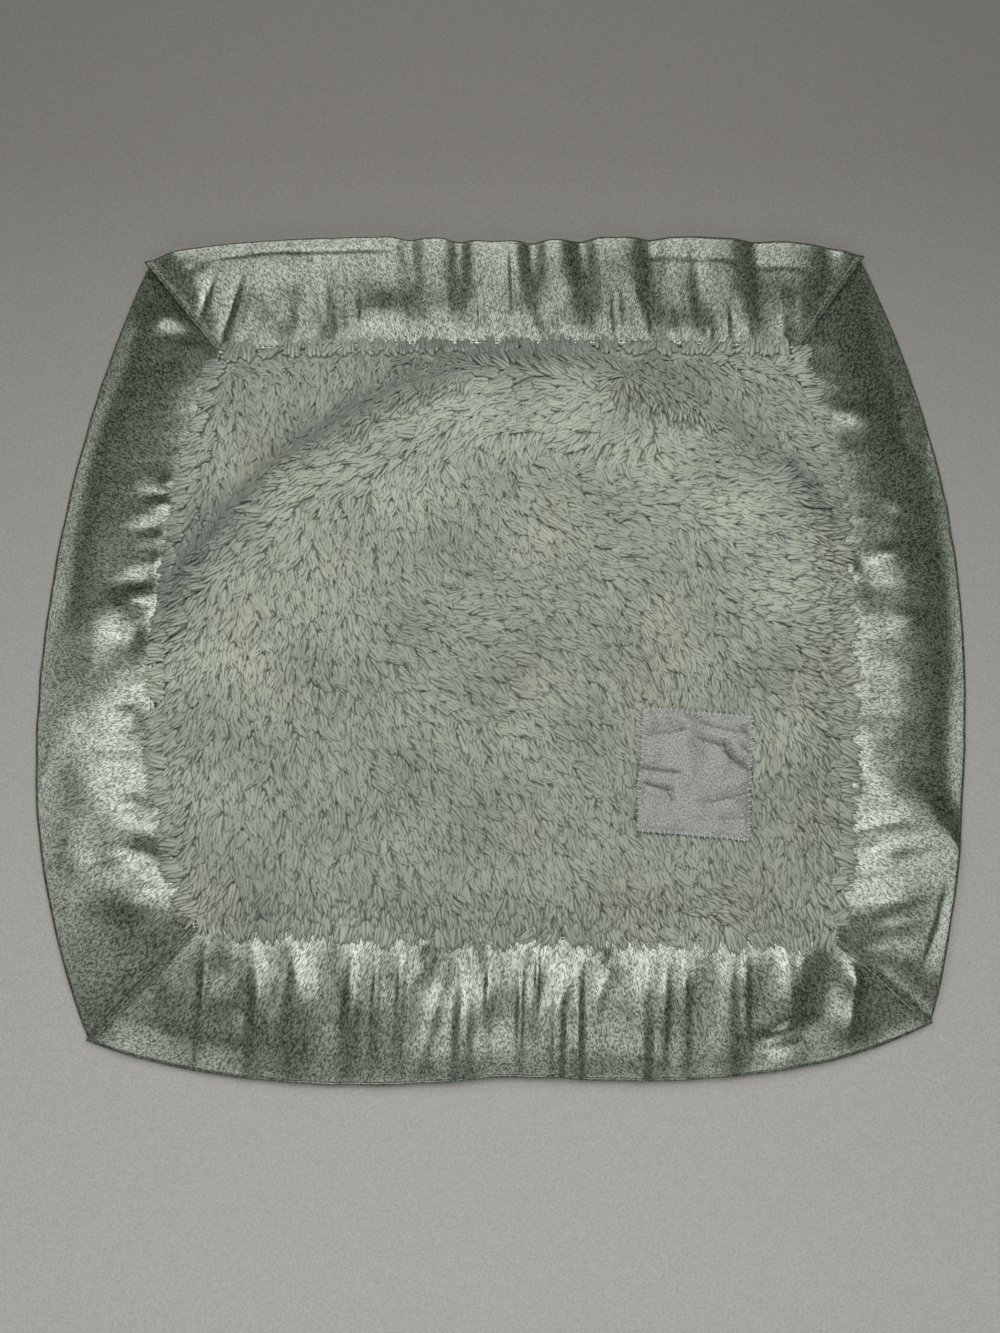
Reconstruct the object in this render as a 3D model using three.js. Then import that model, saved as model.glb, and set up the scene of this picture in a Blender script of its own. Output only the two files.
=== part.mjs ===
// A baby's comfort blanket, lying flat. A plush front panel and a satin back panel have their edges
// held inside four satin strips, which are folded over the blanket's edge, gathered, and mitred where
// they meet at the corners. Lengths are in millimetres: +X is right, +Y is the top edge, +Z is up.
import * as THREE from "three";

// Outline: the corners of the seam line where the plush panel begins, and how far each mitre
// reaches out from there to the blanket's own corner
const panelSpanX = 242;
const panelSpanY = 239;
const mitreReachX = 34.5;
const mitreReachY = 42;
const cornerNames = ["top_left", "top_right", "bottom_right", "bottom_left"];
const panelCornerShares = [[-0.99, 1], [1.025, 1.02], [1.03, -1], [-0.96, -0.965]];
const mitreReachShares = [[-1, 1.015], [0.905, 1.035], [0.975, -0.75], [-1.105, -1]];

// How far each side bows out between its corners, at the outer edge and at the seam line
const topOuterBow = 9;
const rightOuterBow = 28;
const bottomOuterBow = 18.5;
const leftOuterBow = 30.5;
const topInnerBow = 2.5;
const rightInnerBow = 12.5;
const bottomInnerBow = 1;
const leftInnerBow = 20;
const middleDip = 2.5; // the top and bottom edges draw in again at mid length
const middleDipReachShare = 0.1;

// Cloth
const satinThickness = 0.6;
const groundThickness = 0.6; // the knitted ground that carries the pile
const pileHeight = 6.5;
const clearance = 0.3; // between two layers that lie on each other
const seamAllowance = 8; // what the panels have inside the strips

// Pile edge: a small step in from the seam, then a rounded shoulder
const pileFoot = 0.6;
const pileShoulder = 12;
const pileShoulderShares = [0, 0.1, 0.4, 1];

// Back panel: it drops from the strips' lower legs to the table
const backStepInset = 2;
const backStepLength = 6;

// Border strips: height of the pressed fold at the outer edge, and of the loose cloth between
const foldHeight = 2.4;
const borderPuff = 3.2;
const puffSkewShare = 0.8;
const topCreaseInset = 7;
const sideCreaseInset = 13;
const creaseDepth = 1.8;
const creaseReach = 5;
const mitreGap = 0.3;

// Gathers: many close ones along the top and bottom strips, a few long waves along the sides
const gatherCount = 16;
const gatherHeight = 2.4;
const columnsPerGather = 3;
const sideWaveCount = 5;
const columnsPerSideWave = 4;
const sideWaveHeight = 0.9;
const gatherFadeShare = 0.07;
const gatherStartShare = 0.28; // the top strip is smooth up to here
const gatherSeamShare = 0.45; // height of a gather right at the seam
const gatherRiseShare = 0.18; // where across the strip it is at its full height
const gatherUnevenShare = 0.25;

// Main folds of the front panel: a raised field below an arch, with a rounded ridge along the arch
const archCrestX = 12;
const archCrestInset = 4; // below the top seam line
const archHalfSpan = 148;
const archDrop = 103;
const archSlopeWidth = 18;
const fieldHeight = 6;
const fieldFootShare = 0.35; // what is left of the raised field at the bottom seam
const ridgeHeight = 3.2;
const ridgeInset = 7;
const ridgeWidth = 10;
const foldFadeLength = 22; // the folds die out this far in from the seam line

// Stitching
const threadDiameter = 0.5;
const threadSideCount = 4;
const borderSeamInset = 2;
const stitchRise = 0.25;
const sideStitchCount = 2; // stitches for each column of a side strip
const mitreStitchLength = 3;
const mitreStitchReach = 1.1;
const mitreSeamStartShare = 0.05;
const mitreSeamEndShare = 0.9;

// Label patch
const labelWidth = 43;
const labelHeight = 48;
const labelCentreX = 73.4;
const labelCentreY = -58.7;
const labelTurnDegrees = -4.6;
const labelCreaseHeight = 0.9;
const labelCreaseCount = 3;
const labelCreaseSlantShare = 0.4; // how far the creases climb across the label, as a share of it
const labelCellCount = 8;
const labelStitchCount = 12; // along each side
const labelStitchInside = 1.5;
const labelStitchOutside = 0.9;

// Heights of the layers where they lie on each other at the seam, from the table up
const backUnderHeight = satinThickness + clearance;
const groundUnderHeight = backUnderHeight + satinThickness + clearance;
const groundTopHeight = groundUnderHeight + groundThickness;
const holdHeight = groundTopHeight + clearance + satinThickness;
const threadLift = clearance + threadDiameter / 2;

// Rows across a strip's upper leg, from the seam line to near the outer fold
const legShares = [0, 0.1, 0.28, 0.48, 0.66, 0.8, 0.92];
const frontCellCount = 14;
const backCellCount = 8;

const satin = new THREE.MeshStandardMaterial({ color: 0x88917f, roughness: 0.38, metalness: 0 });
const plush = new THREE.MeshStandardMaterial({ color: 0x9da38f, roughness: 0.95, metalness: 0 });
const woven = new THREE.MeshStandardMaterial({ color: 0xb4b7b0, roughness: 0.55, metalness: 0 });
const thread = new THREE.MeshStandardMaterial({ color: 0x6f7866, roughness: 0.6, metalness: 0 });

function smooth(low, high, value) {
  return THREE.MathUtils.smoothstep(value, low, high);
}

function bump(offset, reach) {
  return Math.exp(-((offset / reach) ** 2));
}

function cornersAt(shares, reachX, reachY) {
  return shares.map(([x, y]) => new THREE.Vector2(x * reachX, y * reachY));
}

// A side from one corner to the next, clockwise, bowed out to its left. It is fullest at peakShare,
// and the higher its squareness, the longer it stays full.
function bowedSide(start, end, { bow, peakShare, squareness, dip = 0 }) {
  const chord = end.clone().sub(start);
  const outward = new THREE.Vector2(-chord.y, chord.x).normalize();
  return (t) => {
    const reach = t < peakShare ? peakShare : 1 - peakShare;
    const fullness = 1 - Math.abs((t - peakShare) / reach) ** squareness;
    const drawnIn = dip * bump(t - 0.5, middleDipReachShare);
    return start.clone().addScaledVector(chord, t).addScaledVector(outward, bow * fullness - drawnIn);
  };
}

const panelCorners = cornersAt(panelCornerShares, panelSpanX / 2, panelSpanY / 2);
const outerCorners = cornersAt(mitreReachShares, mitreReachX, mitreReachY);
outerCorners.forEach((corner, k) => corner.add(panelCorners[k]));
const [topLeft, topRight, bottomRight, bottomLeft] = panelCorners;

// The four sides. Each runs clockwise from the corner of its own number to the next one.
const sides = [
  {
    name: "top",
    outer: { bow: topOuterBow, peakShare: 0.5, squareness: 4, dip: middleDip },
    inner: { bow: topInnerBow, peakShare: 0.35, squareness: 3 },
    gathers: gatherCount,
    columns: gatherCount * columnsPerGather,
    columnStitches: 1,
    creaseInset: topCreaseInset,
    gatherHeight,
    gatherFrom: gatherStartShare,
  },
  {
    name: "right",
    outer: { bow: rightOuterBow, peakShare: 0.47, squareness: 1.95 },
    inner: { bow: rightInnerBow, peakShare: 0.37, squareness: 2 },
    gathers: sideWaveCount,
    columns: sideWaveCount * columnsPerSideWave,
    columnStitches: sideStitchCount,
    creaseInset: sideCreaseInset,
    gatherHeight: sideWaveHeight,
    gatherFrom: 0,
  },
  {
    name: "bottom",
    outer: { bow: bottomOuterBow, peakShare: 0.45, squareness: 3.6, dip: middleDip },
    inner: { bow: bottomInnerBow, peakShare: 0.5, squareness: 3 },
    gathers: gatherCount,
    columns: gatherCount * columnsPerGather,
    columnStitches: 1,
    creaseInset: topCreaseInset,
    gatherHeight,
    gatherFrom: 0,
  },
  {
    name: "left",
    outer: { bow: leftOuterBow, peakShare: 0.42, squareness: 2.1 },
    inner: { bow: leftInnerBow, peakShare: 0.4, squareness: 2.1 },
    gathers: sideWaveCount,
    columns: sideWaveCount * columnsPerSideWave,
    columnStitches: sideStitchCount,
    creaseInset: sideCreaseInset,
    gatherHeight: sideWaveHeight,
    gatherFrom: 0,
  },
];

sides.forEach((side, k) => {
  const next = (k + 1) % sides.length;
  side.outerLine = bowedSide(outerCorners[k], outerCorners[next], side.outer);
  side.innerLine = bowedSide(panelCorners[k], panelCorners[next], side.inner);
  side.along = outerCorners[next].clone().sub(outerCorners[k]).normalize();
});
const [topSide, rightSide, bottomSide, leftSide] = sides;

// A point of the panels' plan: u runs 0 to 1 from left to right, v from bottom to top
function panelPoint(u, v) {
  const across = bottomSide.innerLine(1 - u).multiplyScalar(1 - v);
  across.addScaledVector(topSide.innerLine(u), v);
  across.addScaledVector(leftSide.innerLine(v), 1 - u);
  across.addScaledVector(rightSide.innerLine(1 - v), u);
  across.addScaledVector(bottomLeft, -(1 - u) * (1 - v));
  across.addScaledVector(bottomRight, -u * (1 - v));
  across.addScaledVector(topLeft, -(1 - u) * v);
  return across.addScaledVector(topRight, -u * v);
}

// A closed piece of cloth between two grids of points. Its face looks along (column x row).
function clothSolid(columns, rows, faceAt, backAt) {
  const position = [];
  const index = [];
  const faceIndex = (i, j) => j * (columns + 1) + i;
  const backIndex = (i, j) => (columns + 1) * (rows + 1) + faceIndex(i, j);
  for (const pointAt of [faceAt, backAt]) {
    for (let j = 0; j <= rows; j++) {
      for (let i = 0; i <= columns; i++) {
        position.push(...pointAt(i, j));
      }
    }
  }
  const rim = [];
  for (let j = 0; j < rows; j++) {
    for (let i = 0; i < columns; i++) {
      const corners = [[i, j], [i + 1, j], [i + 1, j + 1], [i, j + 1]];
      const [a, b, c, d] = corners.map(([column, row]) => faceIndex(column, row));
      const [e, f, g, h] = corners.map(([column, row]) => backIndex(column, row));
      index.push(a, b, c, a, c, d, e, g, f, e, h, g);
    }
    rim.push([columns, j, columns, j + 1], [0, j + 1, 0, j]);
  }
  for (let i = 0; i < columns; i++) {
    rim.push([i, 0, i + 1, 0], [i + 1, rows, i, rows]);
  }
  for (const [i, j, nextI, nextJ] of rim) {
    const [a, b] = [faceIndex(i, j), faceIndex(nextI, nextJ)];
    const [c, d] = [backIndex(i, j), backIndex(nextI, nextJ)];
    index.push(b, a, c, b, c, d);
  }
  const geometry = new THREE.BufferGeometry();
  geometry.setAttribute("position", new THREE.Float32BufferAttribute(position, 3));
  geometry.setIndex(index);
  geometry.computeVertexNormals();
  return geometry;
}

// Height of a strip's upper leg. across runs 0 to 1 from the seam line to the outer fold.
function stripHeight(side, t, across, width) {
  const base = THREE.MathUtils.lerp(holdHeight, foldHeight, across);
  const puff = borderPuff * Math.sin(Math.PI * across ** puffSkewShare);
  const fromEdge = (1 - across) * width;
  const ends = smooth(0, gatherFadeShare, t) * smooth(0, gatherFadeShare, 1 - t);
  const crease = creaseDepth * bump(fromEdge - side.creaseInset, creaseReach) * ends;
  const started = side.gatherFrom ? smooth(side.gatherFrom, side.gatherFrom + gatherFadeShare, t) : 1;
  const phase = 2 * Math.PI * side.gathers * t;
  const uneven = 1 - gatherUnevenShare * (1 - Math.sin(phase / 3));
  const wave = 0.5 * (1 + Math.cos(phase)) * uneven;
  const rise = gatherSeamShare + (1 - gatherSeamShare) * smooth(0, gatherRiseShare, across);
  const gather = side.gatherHeight * wave * rise * (1 - across) * ends * started;
  return base + puff + gather - crease * Math.sin(Math.PI * across);
}

// A strip's own lines start and end half the mitre gap inside the corner lines
function stripPoint(side, t, across) {
  const inner = side.innerLine(t);
  const outer = side.outerLine(t);
  const inset = mitreGap * Math.SQRT1_2 * (1 - 2 * t);
  return inner.lerp(outer, across).addScaledVector(side.along, inset);
}

function stripWidth(side, t) {
  return side.innerLine(t).distanceTo(side.outerLine(t));
}

// One border strip: upper leg from the seam line outwards, round the fold, and back underneath
function borderStrip(side) {
  const legRows = legShares.length;
  const lastShare = legShares[legRows - 1];
  const section = (t, j, inset) => {
    const width = stripWidth(side, t);
    if (j < legRows) {
      return [legShares[j], stripHeight(side, t, legShares[j], width) - inset];
    }
    if (j === legRows) {
      return [1 - inset / width, foldHeight / 2];
    }
    return [j === legRows + 1 ? lastShare : 0, inset];
  };
  const pointAt = (inset) => (i, j) => {
    const t = i / side.columns;
    const [across, z] = section(t, j, inset);
    const plan = stripPoint(side, t, across);
    return [plan.x, plan.y, z];
  };
  return clothSolid(side.columns, legRows + 2, pointAt(0), pointAt(satinThickness));
}

// How much of its full height the pile has at a distance in from the seam line
function pileRise(distance) {
  const into = THREE.MathUtils.clamp((distance - pileFoot) / pileShoulder, 0, 1);
  return Math.sqrt(1 - (1 - into) ** 2);
}

// Lift of the front panel by its main folds: the field inside the arch, and the ridge along it
function foldLift(x, y, distance) {
  const crestY = topRight.y - archCrestInset;
  const side = (x - archCrestX) / archHalfSpan;
  const slope = (2 * archDrop * side) / archHalfSpan;
  const inside = (crestY - archDrop * side ** 2 - y) / Math.hypot(1, slope);
  const bottomY = bottomLeft.y;
  const level = THREE.MathUtils.lerp(fieldFootShare, 1, (y - bottomY) / (crestY - bottomY));
  const field = fieldHeight * level * smooth(-archSlopeWidth / 2, archSlopeWidth / 2, inside);
  const ridge = ridgeHeight * bump(inside - ridgeInset, ridgeWidth);
  return (field + ridge) * smooth(0, foldFadeLength, distance);
}

function distancesIn(u, v) {
  return [Math.min(u, 1 - u) * panelSpanX, Math.min(v, 1 - v) * panelSpanY];
}

// Grid lines across a panel: the given insets from each seam line, and even cells between them
function panelLines(insets, cells, span) {
  const first = insets.map((inset) => inset / span);
  const last = first.map((share) => 1 - share).reverse();
  const start = first[first.length - 1];
  const step = (last[0] - start) / cells;
  const between = Array.from({ length: cells - 1 }, (_, k) => start + (k + 1) * step);
  return [...first, ...between, ...last];
}

function panelSolid(insets, cells, faceHeight, backHeight) {
  const columnLines = panelLines(insets, cells, panelSpanX);
  const rowLines = panelLines(insets, cells, panelSpanY);
  const pointAt = (heightAt) => (i, j) => {
    const [u, v] = [columnLines[i], rowLines[j]];
    const plan = panelPoint(u, v);
    return [plan.x, plan.y, heightAt(plan, ...distancesIn(u, v))];
  };
  const [columns, rows] = [columnLines.length - 1, rowLines.length - 1];
  return clothSolid(columns, rows, pointAt(faceHeight), pointAt(backHeight));
}

function plushTop(plan, inX, inY) {
  const rise = Math.min(pileRise(inX), pileRise(inY));
  return groundTopHeight + pileHeight * rise + foldLift(plan.x, plan.y, Math.min(inX, inY));
}

function plushUnder(plan, inX, inY) {
  return groundUnderHeight + foldLift(plan.x, plan.y, Math.min(inX, inY));
}

function frontPanel() {
  const shoulder = pileShoulderShares.map((share) => pileFoot + share * pileShoulder);
  return panelSolid([-seamAllowance, ...shoulder], frontCellCount, plushTop, plushUnder);
}

function backPanel() {
  const dropped = backStepInset + backStepLength;
  const under = (plan, inX, inY) => backUnderHeight * (1 - (Math.min(inX, inY) >= dropped ? 1 : 0));
  const face = (plan, inX, inY) => under(plan, inX, inY) + satinThickness;
  return panelSolid([-seamAllowance, backStepInset, dropped], backCellCount, face, under);
}

// A thread's route, one straight step for each pair of points
class StitchRoute extends THREE.Curve {
  constructor(points) {
    super();
    this.points = points;
  }

  getPoint(t, target = new THREE.Vector3()) {
    const place = THREE.MathUtils.clamp(t, 0, 1) * (this.points.length - 1);
    const first = Math.min(Math.floor(place), this.points.length - 2);
    return target.lerpVectors(this.points[first], this.points[first + 1], place - first);
  }

  // Steps are counted by stitches and not by length
  getUtoTmapping(u) {
    return u;
  }
}

function threadAlong(points) {
  const outline = [];
  for (let k = 0; k < threadSideCount; k++) {
    const angle = (2 * Math.PI * k) / threadSideCount;
    const around = new THREE.Vector2(Math.cos(angle), Math.sin(angle));
    outline.push(around.multiplyScalar(threadDiameter / 2));
  }
  const route = new StitchRoute(points);
  return new THREE.ExtrudeGeometry(new THREE.Shape(outline), {
    steps: points.length - 1,
    extrudePath: route,
  });
}

// Height of the strip's flat facets, which run straight between its rows and columns
function stripFacetHeight(side, t, across) {
  const row = legShares.findIndex((share) => share >= across) || 1;
  const [near, far] = [legShares[row - 1], legShares[row]];
  const rowShare = (across - near) / (far - near);
  const column = Math.min(Math.floor(t * side.columns), side.columns - 1);
  const columnShare = t * side.columns - column;
  const heights = [column, column + 1].map((i) => {
    const width = stripWidth(side, i / side.columns);
    const low = stripHeight(side, i / side.columns, near, width);
    const high = stripHeight(side, i / side.columns, far, width);
    return THREE.MathUtils.lerp(low, high, rowShare);
  });
  return THREE.MathUtils.lerp(heights[0], heights[1], columnShare);
}

// The seam that holds a strip to the panels: long stitches that rise a little between their holes
function borderSeam(side) {
  const steps = 2 * side.columns * side.columnStitches;
  const points = [];
  for (let k = 1; k < steps; k++) {
    const t = k / steps;
    const across = borderSeamInset / stripWidth(side, t);
    const plan = stripPoint(side, t, across);
    const rise = k % 2 ? stitchRise : 0;
    const z = stripFacetHeight(side, t, across) + threadLift + rise;
    points.push(new THREE.Vector3(plan.x, plan.y, z));
  }
  return threadAlong(points);
}

// The highest that the two strips at a mitre come within their first column
function mitreHeight(corner, across) {
  const side = sides[corner];
  const before = sides[(corner + sides.length - 1) % sides.length];
  const heights = [0, 1].map((column) => [
    stripFacetHeight(side, column / side.columns, across),
    stripFacetHeight(before, 1 - column / before.columns, across),
  ]);
  return Math.max(...heights.flat());
}

// The seam along a mitre: stitches that cross from one strip to the other
function mitreSeam(corner) {
  const inner = panelCorners[corner];
  const outer = outerCorners[corner];
  const line = outer.clone().sub(inner);
  const sideways = new THREE.Vector2(-line.y, line.x).normalize();
  const sewn = line.length() * (mitreSeamEndShare - mitreSeamStartShare);
  const steps = 2 * Math.round(sewn / mitreStitchLength);
  const points = [];
  for (let k = 0; k <= steps; k++) {
    const across = THREE.MathUtils.lerp(mitreSeamStartShare, mitreSeamEndShare, k / steps);
    const plan = inner.clone().addScaledVector(line, across);
    plan.addScaledVector(sideways, k % 2 ? mitreStitchReach : -mitreStitchReach);
    const z = mitreHeight(corner, across) + threadLift;
    points.push(new THREE.Vector3(plan.x, plan.y, z));
  }
  return threadAlong(points);
}

// The label's own square, -1 to 1 each way, laid on the plush
function labelPlan(across, up) {
  const plan = new THREE.Vector2((across * labelWidth) / 2, (up * labelHeight) / 2);
  plan.rotateAround(new THREE.Vector2(), THREE.MathUtils.degToRad(labelTurnDegrees));
  return plan.add(new THREE.Vector2(labelCentreX, labelCentreY));
}

function labelUnderHeight(across, up) {
  const plan = labelPlan(across, up);
  const lift = foldLift(plan.x, plan.y, foldFadeLength);
  return groundTopHeight + pileHeight + lift + clearance;
}

// Soft creases that run up to the right and die out before the edges
function labelCrease(across, up) {
  const wave = Math.cos(Math.PI * labelCreaseCount * (up - labelCreaseSlantShare * across));
  return labelCreaseHeight * 0.5 * (1 + wave) * (1 - across ** 2) * (1 - up ** 2);
}

function labelPatch() {
  const pointAt = (thickness) => (i, j) => {
    const across = (2 * i) / labelCellCount - 1;
    const up = (2 * j) / labelCellCount - 1;
    const plan = labelPlan(across, up);
    return [plan.x, plan.y, labelUnderHeight(across, up) + labelCrease(across, up) + thickness];
  };
  return clothSolid(labelCellCount, labelCellCount, pointAt(satinThickness), pointAt(0));
}

// Overcast stitches round the label, alternately on it and just off its edge
function labelStitching() {
  const square = [[-1, -1], [1, -1], [1, 1], [-1, 1]];
  const points = [];
  const steps = 2 * labelStitchCount;
  for (let corner = 0; corner < 4; corner++) {
    const [startX, startY] = square[corner];
    const [endX, endY] = square[(corner + 1) % 4];
    for (let k = 1; k < steps; k++) {
      const across = THREE.MathUtils.lerp(startX, endX, k / steps);
      const up = THREE.MathUtils.lerp(startY, endY, k / steps);
      const reach = k % 2 ? labelStitchOutside : -labelStitchInside;
      const outX = startX === endX ? (startX * 2 * reach) / labelWidth : 0;
      const outY = startY === endY ? (startY * 2 * reach) / labelHeight : 0;
      const plan = labelPlan(across + outX, up + outY);
      const edge = labelCrease(Math.min(1, Math.abs(across + outX)), Math.min(1, Math.abs(up + outY)));
      const z = labelUnderHeight(across, up) + satinThickness + edge + threadLift;
      points.push(new THREE.Vector3(plan.x, plan.y, z));
    }
  }
  return threadAlong(points);
}

function piece(name, geometry, material) {
  const mesh = new THREE.Mesh(geometry, material.clone());
  mesh.name = name;
  return mesh;
}

const blanket = new THREE.Group();
blanket.add(piece("front_plush_panel", frontPanel(), plush));
blanket.add(piece("back_satin_panel", backPanel(), satin));
sides.forEach((side, k) => {
  blanket.add(piece("border_strip_" + side.name, borderStrip(side), satin));
  blanket.add(piece("border_seam_" + side.name, borderSeam(side), thread));
  blanket.add(piece("mitre_seam_" + cornerNames[k], mitreSeam(k), thread));
});
blanket.add(piece("label_patch", labelPatch(), woven));
blanket.add(piece("label_stitching", labelStitching(), thread));

// The origin is under the middle of the box round the whole blanket
const middle = new THREE.Box3().setFromObject(blanket).getCenter(new THREE.Vector3());
blanket.position.set(-middle.x, -middle.y, 0);

export default blanket;
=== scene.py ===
# A baby's comfort blanket lying flat on a table, plush side up. A plush front panel and a satin back
# panel have their edges held inside four satin strips, which are folded over the blanket's edge,
# gathered, and mitred at the corners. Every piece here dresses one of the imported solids, in its place.
# Lengths are metres: +X is right, +Y is the top edge, +Z is up.
import math
import random

import bmesh
import bpy
import numpy as np
from mathutils import Matrix, Vector, noise
from mathutils.kdtree import KDTree


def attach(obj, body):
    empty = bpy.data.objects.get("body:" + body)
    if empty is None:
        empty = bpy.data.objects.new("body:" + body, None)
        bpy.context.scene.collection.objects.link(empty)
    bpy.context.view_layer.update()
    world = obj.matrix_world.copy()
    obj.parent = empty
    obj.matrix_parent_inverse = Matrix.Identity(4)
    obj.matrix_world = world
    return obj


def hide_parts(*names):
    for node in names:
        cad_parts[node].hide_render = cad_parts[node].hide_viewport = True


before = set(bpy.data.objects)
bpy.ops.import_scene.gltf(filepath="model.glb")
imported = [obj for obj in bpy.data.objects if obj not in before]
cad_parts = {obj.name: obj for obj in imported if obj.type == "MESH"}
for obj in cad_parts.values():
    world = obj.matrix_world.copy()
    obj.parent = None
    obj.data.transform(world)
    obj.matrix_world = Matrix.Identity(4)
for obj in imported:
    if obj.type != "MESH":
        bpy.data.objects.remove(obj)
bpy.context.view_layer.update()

MM = 0.001
UP = Vector((0, 0, 1))

# Outline: the corners of the seam line where the plush begins, and each mitre's reach out from there.
# Corners run clockwise from the top left.
PANEL_SPAN_X = 242 * MM
PANEL_SPAN_Y = 239 * MM
MITRE_REACH_X = 34.5 * MM
MITRE_REACH_Y = 42 * MM
CORNER_NAMES = ("top_left", "top_right", "bottom_right", "bottom_left")
PANEL_CORNER_SHARES = ((-0.99, 1), (1.025, 1.02), (1.03, -1), (-0.96, -0.965))
MITRE_REACH_SHARES = ((-1, 1.015), (0.905, 1.035), (0.975, -0.75), (-1.105, -1))
MIDDLE_DIP = 2.5 * MM
MIDDLE_DIP_REACH_SHARE = 0.1
# Each side's bow outwards, where along it is fullest and how square it is: outer edge, then seam line
SIDE_BOWS = {
    "top": ((9 * MM, 0.5, 4, MIDDLE_DIP), (2.5 * MM, 0.35, 3)),
    "right": ((28 * MM, 0.47, 1.95), (12.5 * MM, 0.37, 2)),
    "bottom": ((18.5 * MM, 0.45, 3.6, MIDDLE_DIP), (1 * MM, 0.5, 3)),
    "left": ((30.5 * MM, 0.42, 2.1), (20 * MM, 0.4, 2.1)),
}

# Cloth thicknesses and the heights of the layers where they lie on each other at the seam
SATIN_THICKNESS = 0.6 * MM
GROUND_THICKNESS = 0.6 * MM
CLEARANCE = 0.3 * MM
SEAM_ALLOWANCE = 8 * MM
BACK_UNDER = SATIN_THICKNESS + CLEARANCE
GROUND_UNDER = BACK_UNDER + SATIN_THICKNESS + CLEARANCE
GROUND_TOP = GROUND_UNDER + GROUND_THICKNESS
HOLD_HEIGHT = GROUND_TOP + CLEARANCE + SATIN_THICKNESS
BACK_STEP = (2 * MM, 8 * MM)
PANEL_CUT = (PANEL_SPAN_X + 2 * SEAM_ALLOWANCE, PANEL_SPAN_Y + 2 * SEAM_ALLOWANCE)
PANEL_CELLS = 110

# Main folds of the front panel: a raised field below an arch, and a rounded ridge along the arch
ARCH_CREST_X = 12 * MM
ARCH_CREST_INSET = 4 * MM
ARCH_HALF_SPAN = 148 * MM
ARCH_DROP = 103 * MM
ARCH_SLOPE_WIDTH = 18 * MM
FIELD_HEIGHT = 6 * MM
FIELD_FOOT_SHARE = 0.35
RIDGE_HEIGHT = 3.8 * MM
RIDGE_INSET = 7 * MM
RIDGE_WIDTH = 8 * MM
FOLD_FADE = 22 * MM
SWELL_HEIGHT = 0.9 * MM
SWELL_SPACING = 26 * MM

# Border strips
UPPER_ROWS = 44
FOLD_ROWS = 6
LOWER_ROWS = 8
STRIP_ROWS = UPPER_ROWS + FOLD_ROWS + LOWER_ROWS
ROW_SPREAD_SHARE = 1.35
STRIP_COLUMN_PITCH = 0.6 * MM
FOLD_HEIGHT = 2.4 * MM
EDGE_ROUNDING = 1.6 * MM
SHELF_START_SHARE = 0.96
EDGE_WOBBLE = 0.5 * MM
EDGE_WOBBLE_SPACING = 11 * MM
STRIP_LOWEST = 1.7 * MM
END_FADE_SHARE = 0.05
PUFF_END_SHARE = 0.45
EDGE_FADE_POWER = 0.6
LAP_OVER = 0.7 * MM
LAP_LIFT = 0.5 * MM
LAP_DIP = 0.9 * MM
LAP_REACH = 3.5 * MM
LAP_DIP_START_SHARE = 0.15
MITRE_GAP = 0.1 * MM
# Soft rolls of the strips: spacing and height in millimetres
ROLLS = ((30, 0.7), (11, 0.16))
# Wrinkles that run out from the seam: spacing and height in millimetres, reach across the strip
WRINKLES = ((17, 1.0, 1.0), (8, 0.4, 0.8), (3.6, 0.14, 0.5))
WRINKLE_STRETCH_SHARE = 0.22
WRINKLE_FADE_SHARE = 0.3
WRINKLE_DRIFT_SHARE = 0.4
WRINKLE_DRIFT_SPACING = 25 * MM
CREASE_FADE_SHARE = 0.06
CREASE_DRIFT_SHARE = 0.4
CREASE_DRIFT_SPACING = 35 * MM

# Pile
PILE_HEIGHT = 6.5 * MM
PILE_FOOT = 0.6 * MM
PILE_SHOULDER = 8 * MM
LOCK_COLUMNS = 196
LOCK_ROWS = 192
LOCK_BANDS = 8
LOCK_LENGTH = 9.5 * MM
LOCK_WIDTH_SHARE = 0.22
LOCK_THICKNESS_SHARE = 0.07
LOCK_SIDES = 4
LOCK_RINGS = 5
LOCK_RISE_DEGREES = 35
LOCK_TIP_DEGREES = -7
LOCK_BEND_POWER = 0.7
LOCK_STEPS = 12
LOCK_TURN = 0.09
LOCK_SCATTER = 0.9 * MM
FILLER_SHARE = 0.3
FILLER_TURN = 0.2
FILLER_HEIGHT_SHARE = 0.9
LOCK_REACH_SHARE = 0.9
LOCK_CURL_SHARES = (-0.2, -0.09, 0, 0.1, 0.21)
LOCK_SHORTEST = LOCK_LENGTH * 0.5
LOCK_LONGEST = LOCK_LENGTH * 1.25
LOCK_TALL_SHARES = (0.9, 1.1)
LOCK_WIDE_SHARES = (0.8, 1.2)
FOOT_SHORTENING_SHARE = 0.7
SLOPE_STEP = 1 * MM
# Locks lean together in clumps: each clump's spacing, reach to its tip, and width left at the tip
CLUMP_PITCH = 4.4 * MM
CLUMP_REACH = 6.4 * MM
CLUMP_TIP_SHARE = 0.45
CLUMP_TURN = 0.18
CLUMP_SCATTER_SHARES = (-0.4, 0.4)
CLUMP_REACH_SHARES = (0.8, 1.2)
CLUMP_TALL_SHARES = (0.92, 1.08)
CLUMP_ROUNDING_SHARE = 0.15
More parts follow.
